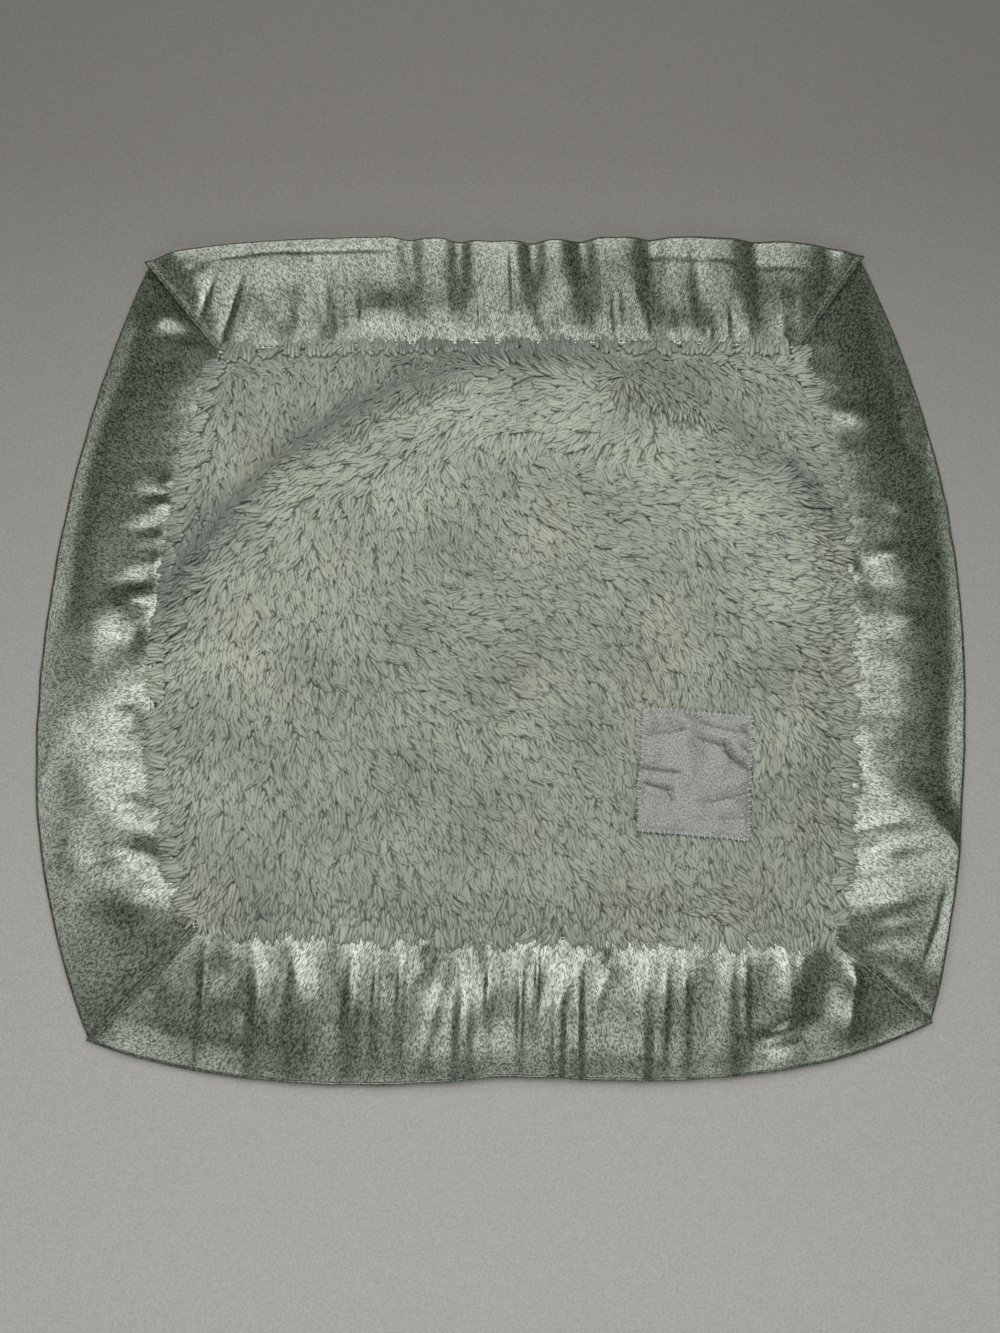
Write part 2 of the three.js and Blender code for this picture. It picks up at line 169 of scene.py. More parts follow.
# Along the panel's edge the clumps are rounder and lean out over the seam, and those behind stand up
EDGE_ZONE = 4.6 * MM
EDGE_FADE = 8 * MM
EDGE_CLUMP_PITCH = 8.5 * MM
EDGE_CLUMP_INSET = 2.2 * MM
EDGE_CLUMP_TURN = 0.25
EDGE_TIP_SHARE = 0.8
EDGE_SCALLOP = 3.6 * MM
EDGE_OUTWARD_SHARE = 0.72
EDGE_REACH_SHARES = {"top": 0.8, "right": 1.4, "bottom": 1.5, "left": 1.25}
EDGE_SCATTER_SHARES = (0.2, 0.8)
EDGE_SPREAD_SHARES = (0.6, 1.15)
EDGE_LIFT = 0.6 * MM
UPRIGHT_REACH_SHARE = 0.45
# Shades of the locks: painted shade makes them greyer behind the ridge, less so to the right, and painted
# light makes them paler on the field inside it
RIDGE_PAINTED_SHADE = 0.55
RIDGE_PAINTED_SHADE_INSET = -3 * MM
RIDGE_PAINTED_SHADE_WIDTH = 10 * MM
RIDGE_PAINTED_SHADE_RIGHT_SHARE = 0.45
RIDGE_PAINTED_SHADE_FADE = (-20 * MM, 60 * MM)
FIELD_PAINTED_LIGHT = 0.25
FIELD_PAINTED_LIGHT_INSET = 34 * MM
FIELD_PAINTED_LIGHT_WIDTH = 24 * MM
DRIFT_SHADE = 0.3
DRIFT_SHADE_SPACING = 26 * MM
# Painted shade along the top seam: how much darker the locks are there, and over what width
TOP_PAINTED_SHADE = 0.1
TOP_PAINTED_SHADE_WIDTH = 8 * MM
CLUMP_SHADE = 0.08
# Painted shade at each clump's rim, where shade falls between the clumps
CLUMP_RIM_PAINTED_SHADE = 0.15
LOCK_SHADE = 0.05
# Which way the locks lie: places in millimetres and directions in degrees, 0 to the right, 90 to the top
FLOW = (
    (-116, 112, -60), (-85, 117, -80), (-51, 108, -88), (-27, 111, -95), (-122, 77, -72), (-96, 85, -80),
    (-65, 92, -88), (-122, 47, -65), (-129, 9, -130), (-115, 26, -140), (-100, 42, -145),
    (-83, 64, -158), (-63, 74, -155), (-43, 85, -155), (-26, 99, -140), (-133, -15, -105),
    (-129, -47, -97), (-124, -81, -100), (-113, -108, -95), (-104, 13, -88), (-74, 42, -88),
    (-42, 55, -85), (-14, 55, -72), (-80, -3, -85), (-53, 21, -75), (-30, 30, -65), (-33, 10, -25),
    (-18, 9, 12), (-8, 0, -22), (-21, -13, -48), (10, 9, -35), (8, 40, -50), (-106, -35, -85),
    (-82, -58, -80), (-56, -31, -65), (-32, -54, -60), (-76, -92, -86), (-39, -88, -75), (-5, -77, -60),
    (-57, -112, -88), (-5, -112, -80), (33, -54, -50), (33, -31, -45), (36, -88, -62), (-2, 124, 100),
    (19, 122, 125), (36, 114, 160), (7, 101, -150), (31, 85, -150), (47, 77, -130), (62, 104, -70),
    (77, 101, -82), (101, 88, -80), (110, 112, -55), (124, 97, -45), (123, 119, 20), (23, 59, -28),
    (51, 61, -8), (79, 66, 2), (103, 59, -6), (128, 64, -32), (132, 38, -28), (46, 32, -22),
    (74, 26, -70), (53, 9, -50), (101, 21, -15), (122, 9, -5), (131, -15, -25), (72, -9, -65),
    (104, -11, -35), (45, -29, -72), (76, -27, -90), (113, -47, -80), (125, -66, -80), (107, -92, -86),
    (44, -66, -72), (73, -92, -90), (35, -115, -72), (68, -119, -60), (78, -103, -12), (109, -114, -75),
)
FLOW_PLACES = np.array([(x * MM, y * MM) for x, y, _ in FLOW])
FLOW_DIRECTIONS = np.array([(math.cos(math.radians(a)), math.sin(math.radians(a))) for _, _, a in FLOW])
FLOW_REACH = 7 * MM

# Label
LABEL_WIDTH = 43 * MM
LABEL_HEIGHT = 48 * MM
LABEL_CENTRE = Vector((73.4 * MM, -58.7 * MM))
LABEL_TURN = math.radians(-4.6)
LABEL_THICKNESS = 0.5 * MM
LABEL_SINK = 3.1 * MM
LABEL_CLEAR_SHARE = 0.9
LABEL_TIP_CLEAR_SHARE = 1.1
LABEL_SHORTENING_SHARE = 0.3
LABEL_EDGE_DROP = 1.0 * MM
LABEL_CREASE_DEPTH_SHARE = 1.4
LABEL_EDGE_WAVE = 0.9 * MM
LABEL_EDGE_SHARE = 0.85
LABEL_CELLS = 150
# Soft swells of the label: height and spacing in millimetres, and the seed
LABEL_SWELLS = ((1.5, 9, 21), (0.2, 3, 22))
# Creases: start and end as shares of the half width and half height, depth and width in millimetres
LABEL_CREASES = (
    ((0.1, 0.53), (0.48, 0.46), 1.5, 0.7), ((0.48, 0.46), (0.55, 0.32), 1.8, 0.7),
    ((0.55, 0.32), (0.8, 0.16), 1.9, 0.8), ((0.8, 0.16), (1.02, 0.08), 1.3, 0.7),
    ((0.86, 0.44), (0.95, 0.38), 1.2, 0.6), ((-1.02, 0), (-0.35, -0.03), 1.3, 0.6),
    ((-0.82, -0.26), (-0.48, -0.32), 1.7, 0.7), ((-0.48, -0.32), (-0.42, -0.43), 0.9, 0.5),
    ((-0.9, 0.56), (-0.35, 0.66), 1.2, 1.1), ((0.25, 0.78), (0.85, 0.72), 1.2, 1.2),
    ((0.85, 0.72), (1, 0.6), 1.2, 0.9), ((0.3, -0.43), (0.6, -0.35), 0.8, 1.1),
    ((0.6, -0.35), (0.95, -0.24), 0.9, 1.2), ((0.55, -0.7), (0.95, -0.64), 0.7, 0.9),
)
CREASE_SHARP_SHARE = 0.4
CREASE_SOFT_SHARE = 3

# Stitching
THREAD = 0.5 * MM
MITRE_THREAD = 0.42 * MM
MITRE_SEAM_INSET = 1.1 * MM
BORDER_SEAM_INSET = 2 * MM
BORDER_STITCH_PITCH = 3 * MM
MITRE_STITCH_PITCH = 1.9 * MM
LABEL_STITCH_PITCH = 2.1 * MM
LABEL_STITCH_INSIDE = 1.5 * MM
LABEL_STITCH_OUTSIDE = 0.7 * MM
LABEL_STITCH_SLANT_SHARE = 0.12
STITCH_FILL_SHARE = 0.78

# Relief of the materials
TWILL_RELIEF = 0.08 * MM
STRAND_RELIEF = 0.3 * MM
KNIT_RELIEF = 0.4 * MM
RIB_RELIEF = 0.15 * MM
FLECK_RELIEF = 0.2 * MM
TWIST_RELIEF = 0.15 * MM

# Table, camera and lights. Each light has its name, place, target, width and depth, and power.
TABLE_SIZE = 3.0
TABLE_DROP = 0.2 * MM
# Where the table's painted shade runs from pale to dark
TABLE_PAINTED_SHADE_SPAN = (-240 * MM, 220 * MM)
CAMERA_PLACE = (-1.7 * MM, -106.5 * MM, 419 * MM)
CAMERA_TILT_DEGREES = 12.3
CAMERA_LENS_MILLIMETRES = 28.95
LIGHTS = (
    ("soft_band", (-0.03, 0.03, 0.62), (-0.03, 0.03, 0), (0.86, 0.26), 2.7),
    ("back_band", (-0.03, 0.3, 0.62), (-0.03, 0.3, 0), (0.6, 0.16), 0.75),
    ("front_fill", (0, -0.75, 0.6), (0, 0, 0), (0.6, 0.4), 1.7),
)
LIGHT_TINT = (1.0, 0.995, 0.97)
ROOM_COLOUR = (0.94, 0.97, 1.0, 1)
ROOM_STRENGTH = 0.11


def clamp(value, low=0.0, high=1.0):
    return min(high, max(low, value))


def lerp(start, end, share):
    return start + (end - start) * share


def smooth(low, high, value):
    share = clamp((value - low) / (high - low))
    return share * share * (3 - 2 * share)


def bump(offset, reach):
    return math.exp(-((offset / reach) ** 2))


def wander(place, spacing, seed=0):
    """A soft random value from -1 to 1 that changes over the given spacing."""
    return noise.noise(Vector((place[0] / spacing, place[1] / spacing, seed)))


def corners_at(shares, reach_x, reach_y):
    return [Vector((x * reach_x, y * reach_y)) for x, y in shares]


panel_corners = corners_at(PANEL_CORNER_SHARES, PANEL_SPAN_X / 2, PANEL_SPAN_Y / 2)
mitre_reaches = corners_at(MITRE_REACH_SHARES, MITRE_REACH_X, MITRE_REACH_Y)
outer_corners = [corner + reach for corner, reach in zip(panel_corners, mitre_reaches)]
top_left, top_right, bottom_right, bottom_left = panel_corners


def bowed_side(start, end, bow, peak_share, squareness, dip=0.0):
    """A line from one corner to the next, bowed out to its left and fullest at its peak."""
    chord = end - start
    outward = Vector((-chord.y, chord.x)).normalized()

    def point(t):
        reach = peak_share if t < peak_share else 1 - peak_share
        fullness = 1 - abs((t - peak_share) / reach) ** squareness
        drawn_in = dip * bump(t - 0.5, MIDDLE_DIP_REACH_SHARE)
        return start + chord * t + outward * (bow * fullness - drawn_in)

    return point


class Side:
    """One side, from its own corner clockwise to the next: its outlines and how its strip lies.

    Places are shares of the side's length, and of the strip's width where they are across; sizes are
    millimetres. A fold runs out from the seam: its place along, height, half width, the places across
    where it is highest and where it ends, and its lean. Gathers have heights below zero. A lump: its
    places along and across, height, and reaches along and across. A crease runs beside the outer edge:
    where it starts and ends, its insets there, its depth, and its reaches inwards and outwards.
    """

    def __init__(self, corner, name, outer, inner):
        following = (corner + 1) % len(panel_corners)
        edge = outer_corners[following] - outer_corners[corner]
        self.corner = corner
        self.name = name
        self.laps_over = name in ("top", "bottom")
        self.outer = bowed_side(outer_corners[corner], outer_corners[following], *outer)
        self.inner = bowed_side(panel_corners[corner], panel_corners[following], *inner)
        self.length = edge.length
        self.seam_length = (panel_corners[following] - panel_corners[corner]).length
        self.along = edge.normalized()
        self.outward = Vector((-self.along.y, self.along.x))

    def lie(self, first, last, change_span, folds, lumps, creases):
        """First and last: the puff in millimetres, its slope power, and crest, fall and wrinkle shares."""
        self.first = first
        self.last = last
        self.change_span = change_span
        self.folds = folds
        self.lumps = lumps
        self.creases = creases

    def profile(self, t):
        """The strip's puff, its slope power, and its crest, fall and wrinkle shares, at a place."""
        share = smooth(*self.change_span, t)
        return [lerp(start, end, share) for start, end in zip(self.first, self.last)]

    def straight(self, t, across):
        """The place along the outer edge straight out from a point: gathers run square to the seam."""
        return 0.5 + (t - 0.5) * lerp(self.seam_length, self.length, across) / self.length

    def width(self, t):
        return (self.outer(t) - self.inner(t)).length

    def plan(self, t, across, lapped=0.0):
        past = LAP_OVER * lapped if self.laps_over else 0
        wobble = EDGE_WOBBLE * wander((t * self.length, self.corner), EDGE_WOBBLE_SPACING, 41)
        outer = self.outer(t) + self.outward * wobble * math.sin(math.pi * clamp(t))
        return self.inner(t).lerp(outer, across) + self.along * (MITRE_GAP - 2 * past) * (0.5 - t)


sides = [Side(corner, name, *SIDE_BOWS[name]) for corner, name in enumerate(SIDE_BOWS)]
top_side, right_side, bottom_side, left_side = sides

top_side.lie(
    first=(8, 0.78, 0.98, 0, 0.6),
    last=(6.4, 0.8, 0.96, 0, 0.6),
    change_span=(0.45, 0.7),
    folds=(
        (0.055, -1, 1.6, 0.4, 0.9, 0.06), (0.1, -1.4, 1.8, 0.35, 0.8, 0.05), (0.19, -0.8, 8, 0.4, 0.9, 0),
        (0.246, -1.2, 4, 0.4, 0.9, 0), (0.28, 0.4, 1, 0.3, 0.6, 0), (0.3, 0.3, 0.8, 0.3, 0.7, 0),
        (0.33, 0.3, 1.2, 0.3, 0.6, 0), (0.372, -1.9, 5, 1, 3, -0.005), (0.436, -2.3, 4.5, 1, 3, 0),
        (0.457, 0.25, 0.7, 0.3, 0.7, 0), (0.466, 0.3, 0.7, 0.3, 0.8, 0), (0.508, -0.5, 1.2, 0.7, 1.1, 0),
        (0.538, -2.8, 5, 1, 3, 0), (0.565, 0.3, 0.8, 0.2, 0.5, 0), (0.577, 0.3, 0.9, 0.2, 0.5, 0),
        (0.616, -3.4, 5.6, 1, 3, -0.012), (0.64, 0.4, 0.8, 0.25, 0.6, 0), (0.653, 0.4, 0.9, 0.25, 0.6, 0),
        (0.702, -2.6, 6, 1, 3, 0), (0.69, 0.4, 0.8, 0.15, 0.35, 0), (0.725, 0.5, 1.2, 0.2, 0.5, 0),
        (0.766, -1.2, 4, 0.5, 1, 0), (0.775, 0.5, 1, 0.15, 0.35, 0), (0.8, 0.5, 0.9, 0.2, 0.45, 0),
        (0.848, -2.4, 7, 0.8, 2, 0), (0.95, -1.6, 6, 0.8, 2, 0),
    ),
    lumps=(
        (0.17, 0.8, 1, 18, 7), (0.08, 0.75, 1, 6, 5), (0.33, 0.3, 1, 9, 8), (0.035, 0.9, 1, 4, 2),
        (0.06, 0.85, 0.8, 4, 2), (0.9, 0.4, 1, 8, 10),
    ),
    creases=((0.06, 0.36, 7.5, 7, 0.25, 0.4, 1.6), (0.66, 0.98, 8.5, 15, 0.2, 0.9, 3)),
)
right_side.lie(
    first=(0.9, 3, 0.36, 1.2, 0.3),
    last=(3.6, 1.1, 1, 0, 0.4),
    change_span=(0.7, 0.82),
    folds=(
        (0.13, -0.5, 6, 0.2, 0.5, 0), (0.455, -0.6, 5, 0.25, 0.6, 0), (0.61, -0.4, 7, 0.25, 0.6, 0),
        (0.79, -0.5, 5, 0.2, 0.45, 0), (0.897, -1.1, 7, 0.25, 0.55, 0), (0.95, -0.8, 4, 0.3, 0.75, 0),
    ),
    lumps=(
        (0.075, 0.2, 1.1, 5, 7), (0.22, 0.35, 1.1, 5, 10), (0.35, 0.58, 0.8, 4, 6), (0.415, 0.5, 1.4, 4, 11),
        (0.425, 0.06, 1.4, 3, 3), (0.505, 0.55, 0.6, 4, 7), (0.57, 0.55, 0.3, 5, 7), (0.705, 0.05, 1.4, 3, 3),
        (0.84, 0.5, 0.7, 9, 14), (0.93, 0.6, 0.8, 6, 8),
    ),
    creases=(
        (0.01, 0.3, 4, 7, 1.2, 11, 6), (0.22, 0.8, 8.5, 6.5, 0.4, 5, 5), (0.83, 0.97, 6, 9.5, 0.35, 0.8, 3),
    ),
)
bottom_side.lie(
    first=(2.9, 0.6, 1, 0, 0.6),
    last=(2.8, 0.7, 1, 0, 0.6),
    change_span=(0.7, 0.95),
    folds=(
        (0.05, -1.6, 14, 1, 3, 0), (0.079, 1, 1.4, 0.4, 1, 0.03), (0.096, 0.8, 1.1, 0.3, 0.8, 0),
        (0.129, -0.8, 6, 0.3, 1, 0), (0.175, 1.5, 5, 0.5, 1.2, 0), (0.226, 0.8, 1.6, 0.4, 1, 0),
        (0.25, 1.3, 4.2, 0.7, 1.8, 0), (0.299, 0.9, 2.2, 0.5, 1.3, 0), (0.317, 0.8, 1.7, 0.5, 1.2, 0.01),
        (0.35, 1.3, 3.4, 0.8, 2, 0), (0.392, 0.4, 1.2, 0.1, 0.25, 0), (0.425, 1.4, 2.4, 0.6, 1.6, 0),
        (0.447, 1.5, 3, 0.7, 2, 0), (0.473, 0.5, 0.9, 0.3, 0.8, 0), (0.492, 1, 1.5, 0.5, 1.2, 0),
        (0.53, 0.8, 1.7, 0.4, 1, 0), (0.558, 1.8, 3.6, 0.6, 1.6, 0), (0.572, 0.7, 2.6, 0.5, 1.2, 0.04),
        (0.612, 0.3, 1.2, 0.1, 0.25, 0), (0.634, 0.8, 1.7, 0.4, 1, 0), (0.663, 1, 1.6, 0.4, 1, 0),
        (0.69, 1.7, 3.6, 0.45, 1.1, 0), (0.753, 1.7, 6, 0.5, 1.2, 0), (0.776, 0.4, 0.9, 0.1, 0.35, 0),
        (0.802, 1.5, 3.2, 0.5, 1.2, 0), (0.867, 0.8, 1.4, 0.5, 1.2, 0), (0.9, -1, 16, 1, 3, 0),
        (0.94, -0.8, 4, 0.4, 0.9, -0.02), (0.47, 1.7, 75, 1, 3, 0),
    ),
    lumps=(
        (0.35, 0.9, 0.7, 34, 8), (0.55, 0.9, 0.9, 34, 8), (0.12, 0.75, 0.6, 12, 6), (0.094, 0.4, 1.4, 3, 10),
        (0.095, 0.8, 1.2, 5, 5), (0.975, 0.85, 1, 4, 3), (0.39, 0.05, 0.8, 2, 4), (0.605, 0.05, 0.8, 2, 4),
    ),
    creases=(
        (0.09, 0.22, 17, 12, 1, 2.2, 6), (0.13, 0.2, 10, 8, 0.8, 1.6, 4), (0.7, 0.75, 25, 26, 0.7, 0.8, 3),
        (0.83, 0.88, 21, 25, 0.9, 0.9, 3), (0.8, 1, 9, 13, 0.2, 3, 6),
    ),
)
left_side.lie(
    first=(0.6, 1, 1, 0, 0.35),
    last=(0.8, 2, 0.12, 1.3, 0.25),
    change_span=(0.25, 0.52),
    folds=(
        (0.21, -1.2, 5, 0.2, 0.45, 0.01), (0.268, -0.8, 4, 0.2, 0.45, 0.01), (0.38, -0.4, 4, 0.2, 0.45, 0),
        (0.475, -1.6, 9, 0.25, 0.6, 0), (0.555, -0.9, 4, 0.2, 0.5, 0), (0.625, -0.7, 3, 0.2, 0.45, 0),
        (0.67, -0.8, 3, 0.15, 0.4, 0.01), (0.9, -1, 4, 0.3, 0.75, 0),
    ),
    lumps=(
        (0.925, 0.7, 3, 6, 22), (0.53, 0.22, 2, 5, 9), (0.583, 0.03, 1.6, 3, 4), (0.657, 0.12, 1.2, 3, 6),
        (0.685, 0.1, 1.2, 3, 5), (0.4, 0.45, 0.4, 9, 14), (0.3, 0.6, 0.8, 12, 10), (0.16, 0.4, 1, 8, 14),
        (0.36, 0.25, -0.6, 10, 7), (0.22, 0.75, 0.7, 12, 7), (0.07, 0.35, 1.4, 4, 12),
    ),
    creases=((0.47, 0.75, 9, 7, 0.4, 5, 5), (0.68, 0.97, 7, 10, 0.5, 6, 5)),
)


def panel_point(u, v):
    """A point of the panels' plan: u runs from left to right, v from bottom to top."""
    point = bottom_side.inner(1 - u) * (1 - v) + top_side.inner(u) * v
    point += left_side.inner(v) * (1 - u) + right_side.inner(1 - v) * u
    point -= bottom_left * ((1 - u) * (1 - v)) + bottom_right * (u * (1 - v))
    point -= top_left * ((1 - u) * v) + top_right * (u * v)
    return point


def nearest_edge(u, v):
    """How far inside its nearest edge a place of the panel is, and the way out over that edge."""
    reaches = ((1 - v) * PANEL_SPAN_Y, (1 - u) * PANEL_SPAN_X, v * PANEL_SPAN_Y, u * PANEL_SPAN_X)
    distance = min(reaches)
    return distance, sides[reaches.index(distance)].outward


arch_crest_y = top_right.y - ARCH_CREST_INSET


def inside_arch(x, y):
    """How far a place lies inside the arch, square to it."""
    side = (x - ARCH_CREST_X) / ARCH_HALF_SPAN
    slope = 2 * ARCH_DROP * side / ARCH_HALF_SPAN
    return (arch_crest_y - ARCH_DROP * side**2 - y) / math.hypot(1, slope)


def fold_lift(x, y, distance):
    """Lift of the front panel by its main folds and by soft random swells."""
    inside = inside_arch(x, y)
    level = lerp(FIELD_FOOT_SHARE, 1, (y - bottom_left.y) / (arch_crest_y - bottom_left.y))
    field = FIELD_HEIGHT * level * smooth(-ARCH_SLOPE_WIDTH / 2, ARCH_SLOPE_WIDTH / 2, inside)
    ridge = RIDGE_HEIGHT * bump(inside - RIDGE_INSET, RIDGE_WIDTH)
    swell = SWELL_HEIGHT * wander((x, y), SWELL_SPACING)
    return (field + ridge + swell) * smooth(0, FOLD_FADE, distance)


def pile_rise(distance):
    into = clamp((distance - PILE_FOOT) / PILE_SHOULDER)
    return math.sqrt(1 - (1 - into) ** 2)


def mesh_from(shape, name):
    mesh = bpy.data.meshes.new(name)
    shape.to_mesh(mesh)
    shape.free()
    return mesh


def placed(thing):
    bpy.context.scene.collection.objects.link(thing)
    return thing


def new_object(name, shape, material, slot, *nodes):
    """A finished piece: it rides on the blanket's body and stands for the named solids."""
    piece = placed(bpy.data.objects.new(name, mesh_from(shape, name)))
    piece.data.materials.append(material)
    piece.data.shade_smooth()
    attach(piece, "root")
    if nodes:
        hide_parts(*nodes)
    return piece


def cloth_grid(columns, rows, place, size):
    """A grid of cloth whose points are put by place(column share, row share), with a UV map in metres."""
    cloth = bmesh.new()
    cloth_map = cloth.loops.layers.uv.new("cloth")
    bmesh.ops.create_grid(cloth, x_segments=columns, y_segments=rows, size=0.5)
    for face in cloth.faces:
        for loop in face.loops:
            share = loop.vert.co
            loop[cloth_map].uv = ((share.x + 0.5) * size[0], (share.y + 0.5) * size[1])
    for vert in cloth.verts:
        vert.co = place(vert.co.x + 0.5, vert.co.y + 0.5)
    return cloth


def thicken(piece, thickness, offset):
    layer = piece.modifiers.new("thickness", "SOLIDIFY")
    layer.thickness = thickness
    layer.offset = offset


# Satin border


def mitre_distance(plan, corner):
    """How far a point is from the mitre line at a corner."""
    line = (outer_corners[corner] - panel_corners[corner]).normalized()
    offset = plan - panel_corners[corner]
    return abs(line.x * offset.y - line.y * offset.x)


def strip_folds(side, t, across):
    """How far the folds that run out from the seam raise the strip, or draw it down."""
    height = 0
    for place, tall, wide, highest, ending, lean in side.folds:
        offset = (side.straight(t, across) - place - lean * across) * side.length
        swell = smooth(0, highest, across) * (1 - smooth(highest, ending, across))
        height += tall * MM * bump(offset, wide * MM) * swell
    return height


def strip_wrinkles(side, t, across):
    """Fine folds that run out from the seam, sharp at their crests, and fade towards the edge."""
    height = 0
    for spacing, tall, reach in WRINKLES:
        out = across * side.width(t)
        straight = side.straight(t, across) * side.length
        drift = WRINKLE_DRIFT_SHARE * spacing * MM
        along = straight + drift * wander((straight, out), WRINKLE_DRIFT_SPACING, spacing)
        place = (along, out * WRINKLE_STRETCH_SHARE)
        crest = 1 - 2 * abs(wander(place, spacing * MM, side.corner * 7 + spacing))
        height += tall * MM * crest * (1 - smooth(reach * WRINKLE_FADE_SHARE, reach, across))
    return height


def strip_height(side, t, across):
    """Height of a strip's upper face above the table, with its puff, gathers, lumps and creases."""
    width = side.width(t)
    plan = side.plan(t, across)
    ends = smooth(0, END_FADE_SHARE, t) * smooth(0, END_FADE_SHARE, 1 - t)
    puff, slope_power, crest, fall, wrinkled = side.profile(t)
    if across < crest:
        rise = 1 - clamp(1 - across / crest) ** slope_power
    else:
        rise = 1 - fall * smooth(crest, lerp(crest, 1, SHELF_START_SHARE), across)
    from_edge = clamp((1 - across) * width / EDGE_ROUNDING)
    rise *= math.sqrt(1 - (1 - from_edge) ** 2)
    height = lerp(HOLD_HEIGHT, FOLD_HEIGHT, across)
    height += puff * MM * rise * lerp(PUFF_END_SHARE, 1, ends)
    edge_fade = math.sin(math.pi * clamp(across) ** EDGE_FADE_POWER)
    wrinkles = wrinkled * strip_wrinkles(side, t, across) * math.sqrt(edge_fade)
    folds = strip_folds(side, t, across) + wrinkles
    for spacing, tall in ROLLS:
        folds += tall * MM * wander(plan, spacing * MM, 11) * edge_fade
    for place, place_across, tall, reach_along, reach_across in side.lumps:
        along = bump((side.straight(t, across) - place) * side.length, reach_along * MM)
        folds += tall * MM * along * bump((across - place_across) * width, reach_across * MM) * edge_fade
    from_edge = (1 - across) * width
    for start, end, first_inset, last_inset, depth, inwards, outwards in side.creases:
        span = smooth(start, start + CREASE_FADE_SHARE, t) * smooth(-end, CREASE_FADE_SHARE - end, -t)
        inset = lerp(first_inset, last_inset, clamp((t - start) / (end - start)))
        inset *= 1 + CREASE_DRIFT_SHARE * wander((t * side.length, side.corner), CREASE_DRIFT_SPACING, 3)
        offset = from_edge - inset * MM
        reach = inwards if offset > 0 else outwards
        folds -= depth * MM * bump(offset, reach * MM) * span
    height = max(STRIP_LOWEST, height + folds * ends)
    following = (side.corner + 1) % len(sides)
    nearest = min(mitre_distance(plan, side.corner), mitre_distance(plan, following))
    if side.laps_over:
        return height + LAP_LIFT * (1 - smooth(0, LAP_REACH, nearest))
    return height - LAP_DIP * bump(nearest, LAP_REACH) * smooth(0, LAP_DIP_START_SHARE, across)


def border_strip(side, material):
    """A satin strip: upper leg from the seam outwards, round the fold, and back underneath."""

    def place(t, share):
        row = share * STRIP_ROWS
        width = side.width(t)
        fold_reach = FOLD_HEIGHT / 2 / width
        if row <= UPPER_ROWS:
            across = (1 - (1 - row / UPPER_ROWS) ** ROW_SPREAD_SHARE) * (1 - fold_reach)
            height = strip_height(side, t, across)
            lapped = 1
        elif row <= UPPER_ROWS + FOLD_ROWS:
            turn = math.pi * (row - UPPER_ROWS) / FOLD_ROWS
            radius = strip_height(side, t, 1 - fold_reach) / 2
            across = 1 - fold_reach + fold_reach * math.sin(turn)
            height = radius + radius * math.cos(turn)
            lapped = height / (2 * radius)
        else:
            across = (STRIP_ROWS - row) / LOWER_ROWS * (1 - fold_reach)
            height = 0
            lapped = 0
        return Vector((*side.plan(t, across, lapped), height))

    columns = round(side.length / STRIP_COLUMN_PITCH)
    girth = 2 * side.width(0.5)
    strip = cloth_grid(columns, STRIP_ROWS, place, (side.length, girth))
    name = "satin_border_" + side.name
    piece = new_object(name, strip, material, "satin", "border_strip_" + side.name)
    thicken(piece, SATIN_THICKNESS, -1)
    mean_length = (side.length + (side.inner(1) - side.inner(0)).length) / 2


# Stitches


def stitch_shape(start, end, thickness, lift):
    """One stitch between two holes: a short rounded strand that stands up a little in its middle."""
    strand = bmesh.new()
    bmesh.ops.create_uvsphere(strand, u_segments=6, v_segments=5, radius=1)
    line = end - start
    side = line.cross(UP).normalized()
    up = side.cross(line).normalized()
    for vert in strand.verts:
        share = vert.co.z
        plump = math.sqrt(max(0, 1 - share**4)) / max(1e-6, math.hypot(vert.co.x, vert.co.y))
        across = vert.co.x * plump * thickness / 2
        high = vert.co.y * plump * thickness / 2
        middle = (start + end) / 2 + line * (share / 2)
        vert.co = middle + side * across + up * (high + lift * (1 - share**2))
    return strand


def stitch_row(name, stitches, thickness, material, node):
    """A row of stitches as one piece."""
    row = bmesh.new()
    for start, end in stitches:
        strand = mesh_from(stitch_shape(start, end, thickness, thickness / 2), "stitch")
        row.from_mesh(strand)
        bpy.data.meshes.remove(strand)
    bmesh.ops.recalc_face_normals(row, faces=row.faces)
    new_object(name, row, material, "thread", node)


def strip_point(side, t, across):
    return Vector((*side.plan(t, across), strip_height(side, t, across)))


def stitch_spans(length, pitch):
    """Where each stitch of a seam starts and ends, as shares of the seam's length."""
    count = int(length / pitch)
    return [(k / count, k / count + STITCH_FILL_SHARE / count) for k in range(1, count - 1)]


def border_stitches(side, material):
    """The seam that holds a strip to the panels, close to its inner edge."""
    stitches = []
    for first, last in stitch_spans(side.length, BORDER_STITCH_PITCH):
        across = BORDER_SEAM_INSET / side.width(first)
        stitches.append((strip_point(side, first, across), strip_point(side, last, across)))
    name = "border_stitches_" + side.name
    stitch_row(name, stitches, THREAD, material, "border_seam_" + side.name)


def mitre_stitches(corner, material):
    """The seam along a mitre: small stitches just inside the folded edge of the strip that laps over."""
    side = sides[corner - corner % 2]
    line = outer_corners[corner] - panel_corners[corner]
    slant = abs(line.normalized().dot(side.outward))
    inside = MITRE_SEAM_INSET / side.length / math.sqrt(1 - slant**2)
    t = inside if corner % 2 == 0 else 1 - inside
    spans = stitch_spans(line.length, MITRE_STITCH_PITCH)
    stitches = [(strip_point(side, t, first), strip_point(side, t, last)) for first, last in spans]
    name = "mitre_stitches_" + CORNER_NAMES[corner]
    stitch_row(name, stitches, MITRE_THREAD, material, "mitre_seam_" + CORNER_NAMES[corner])


# Panels


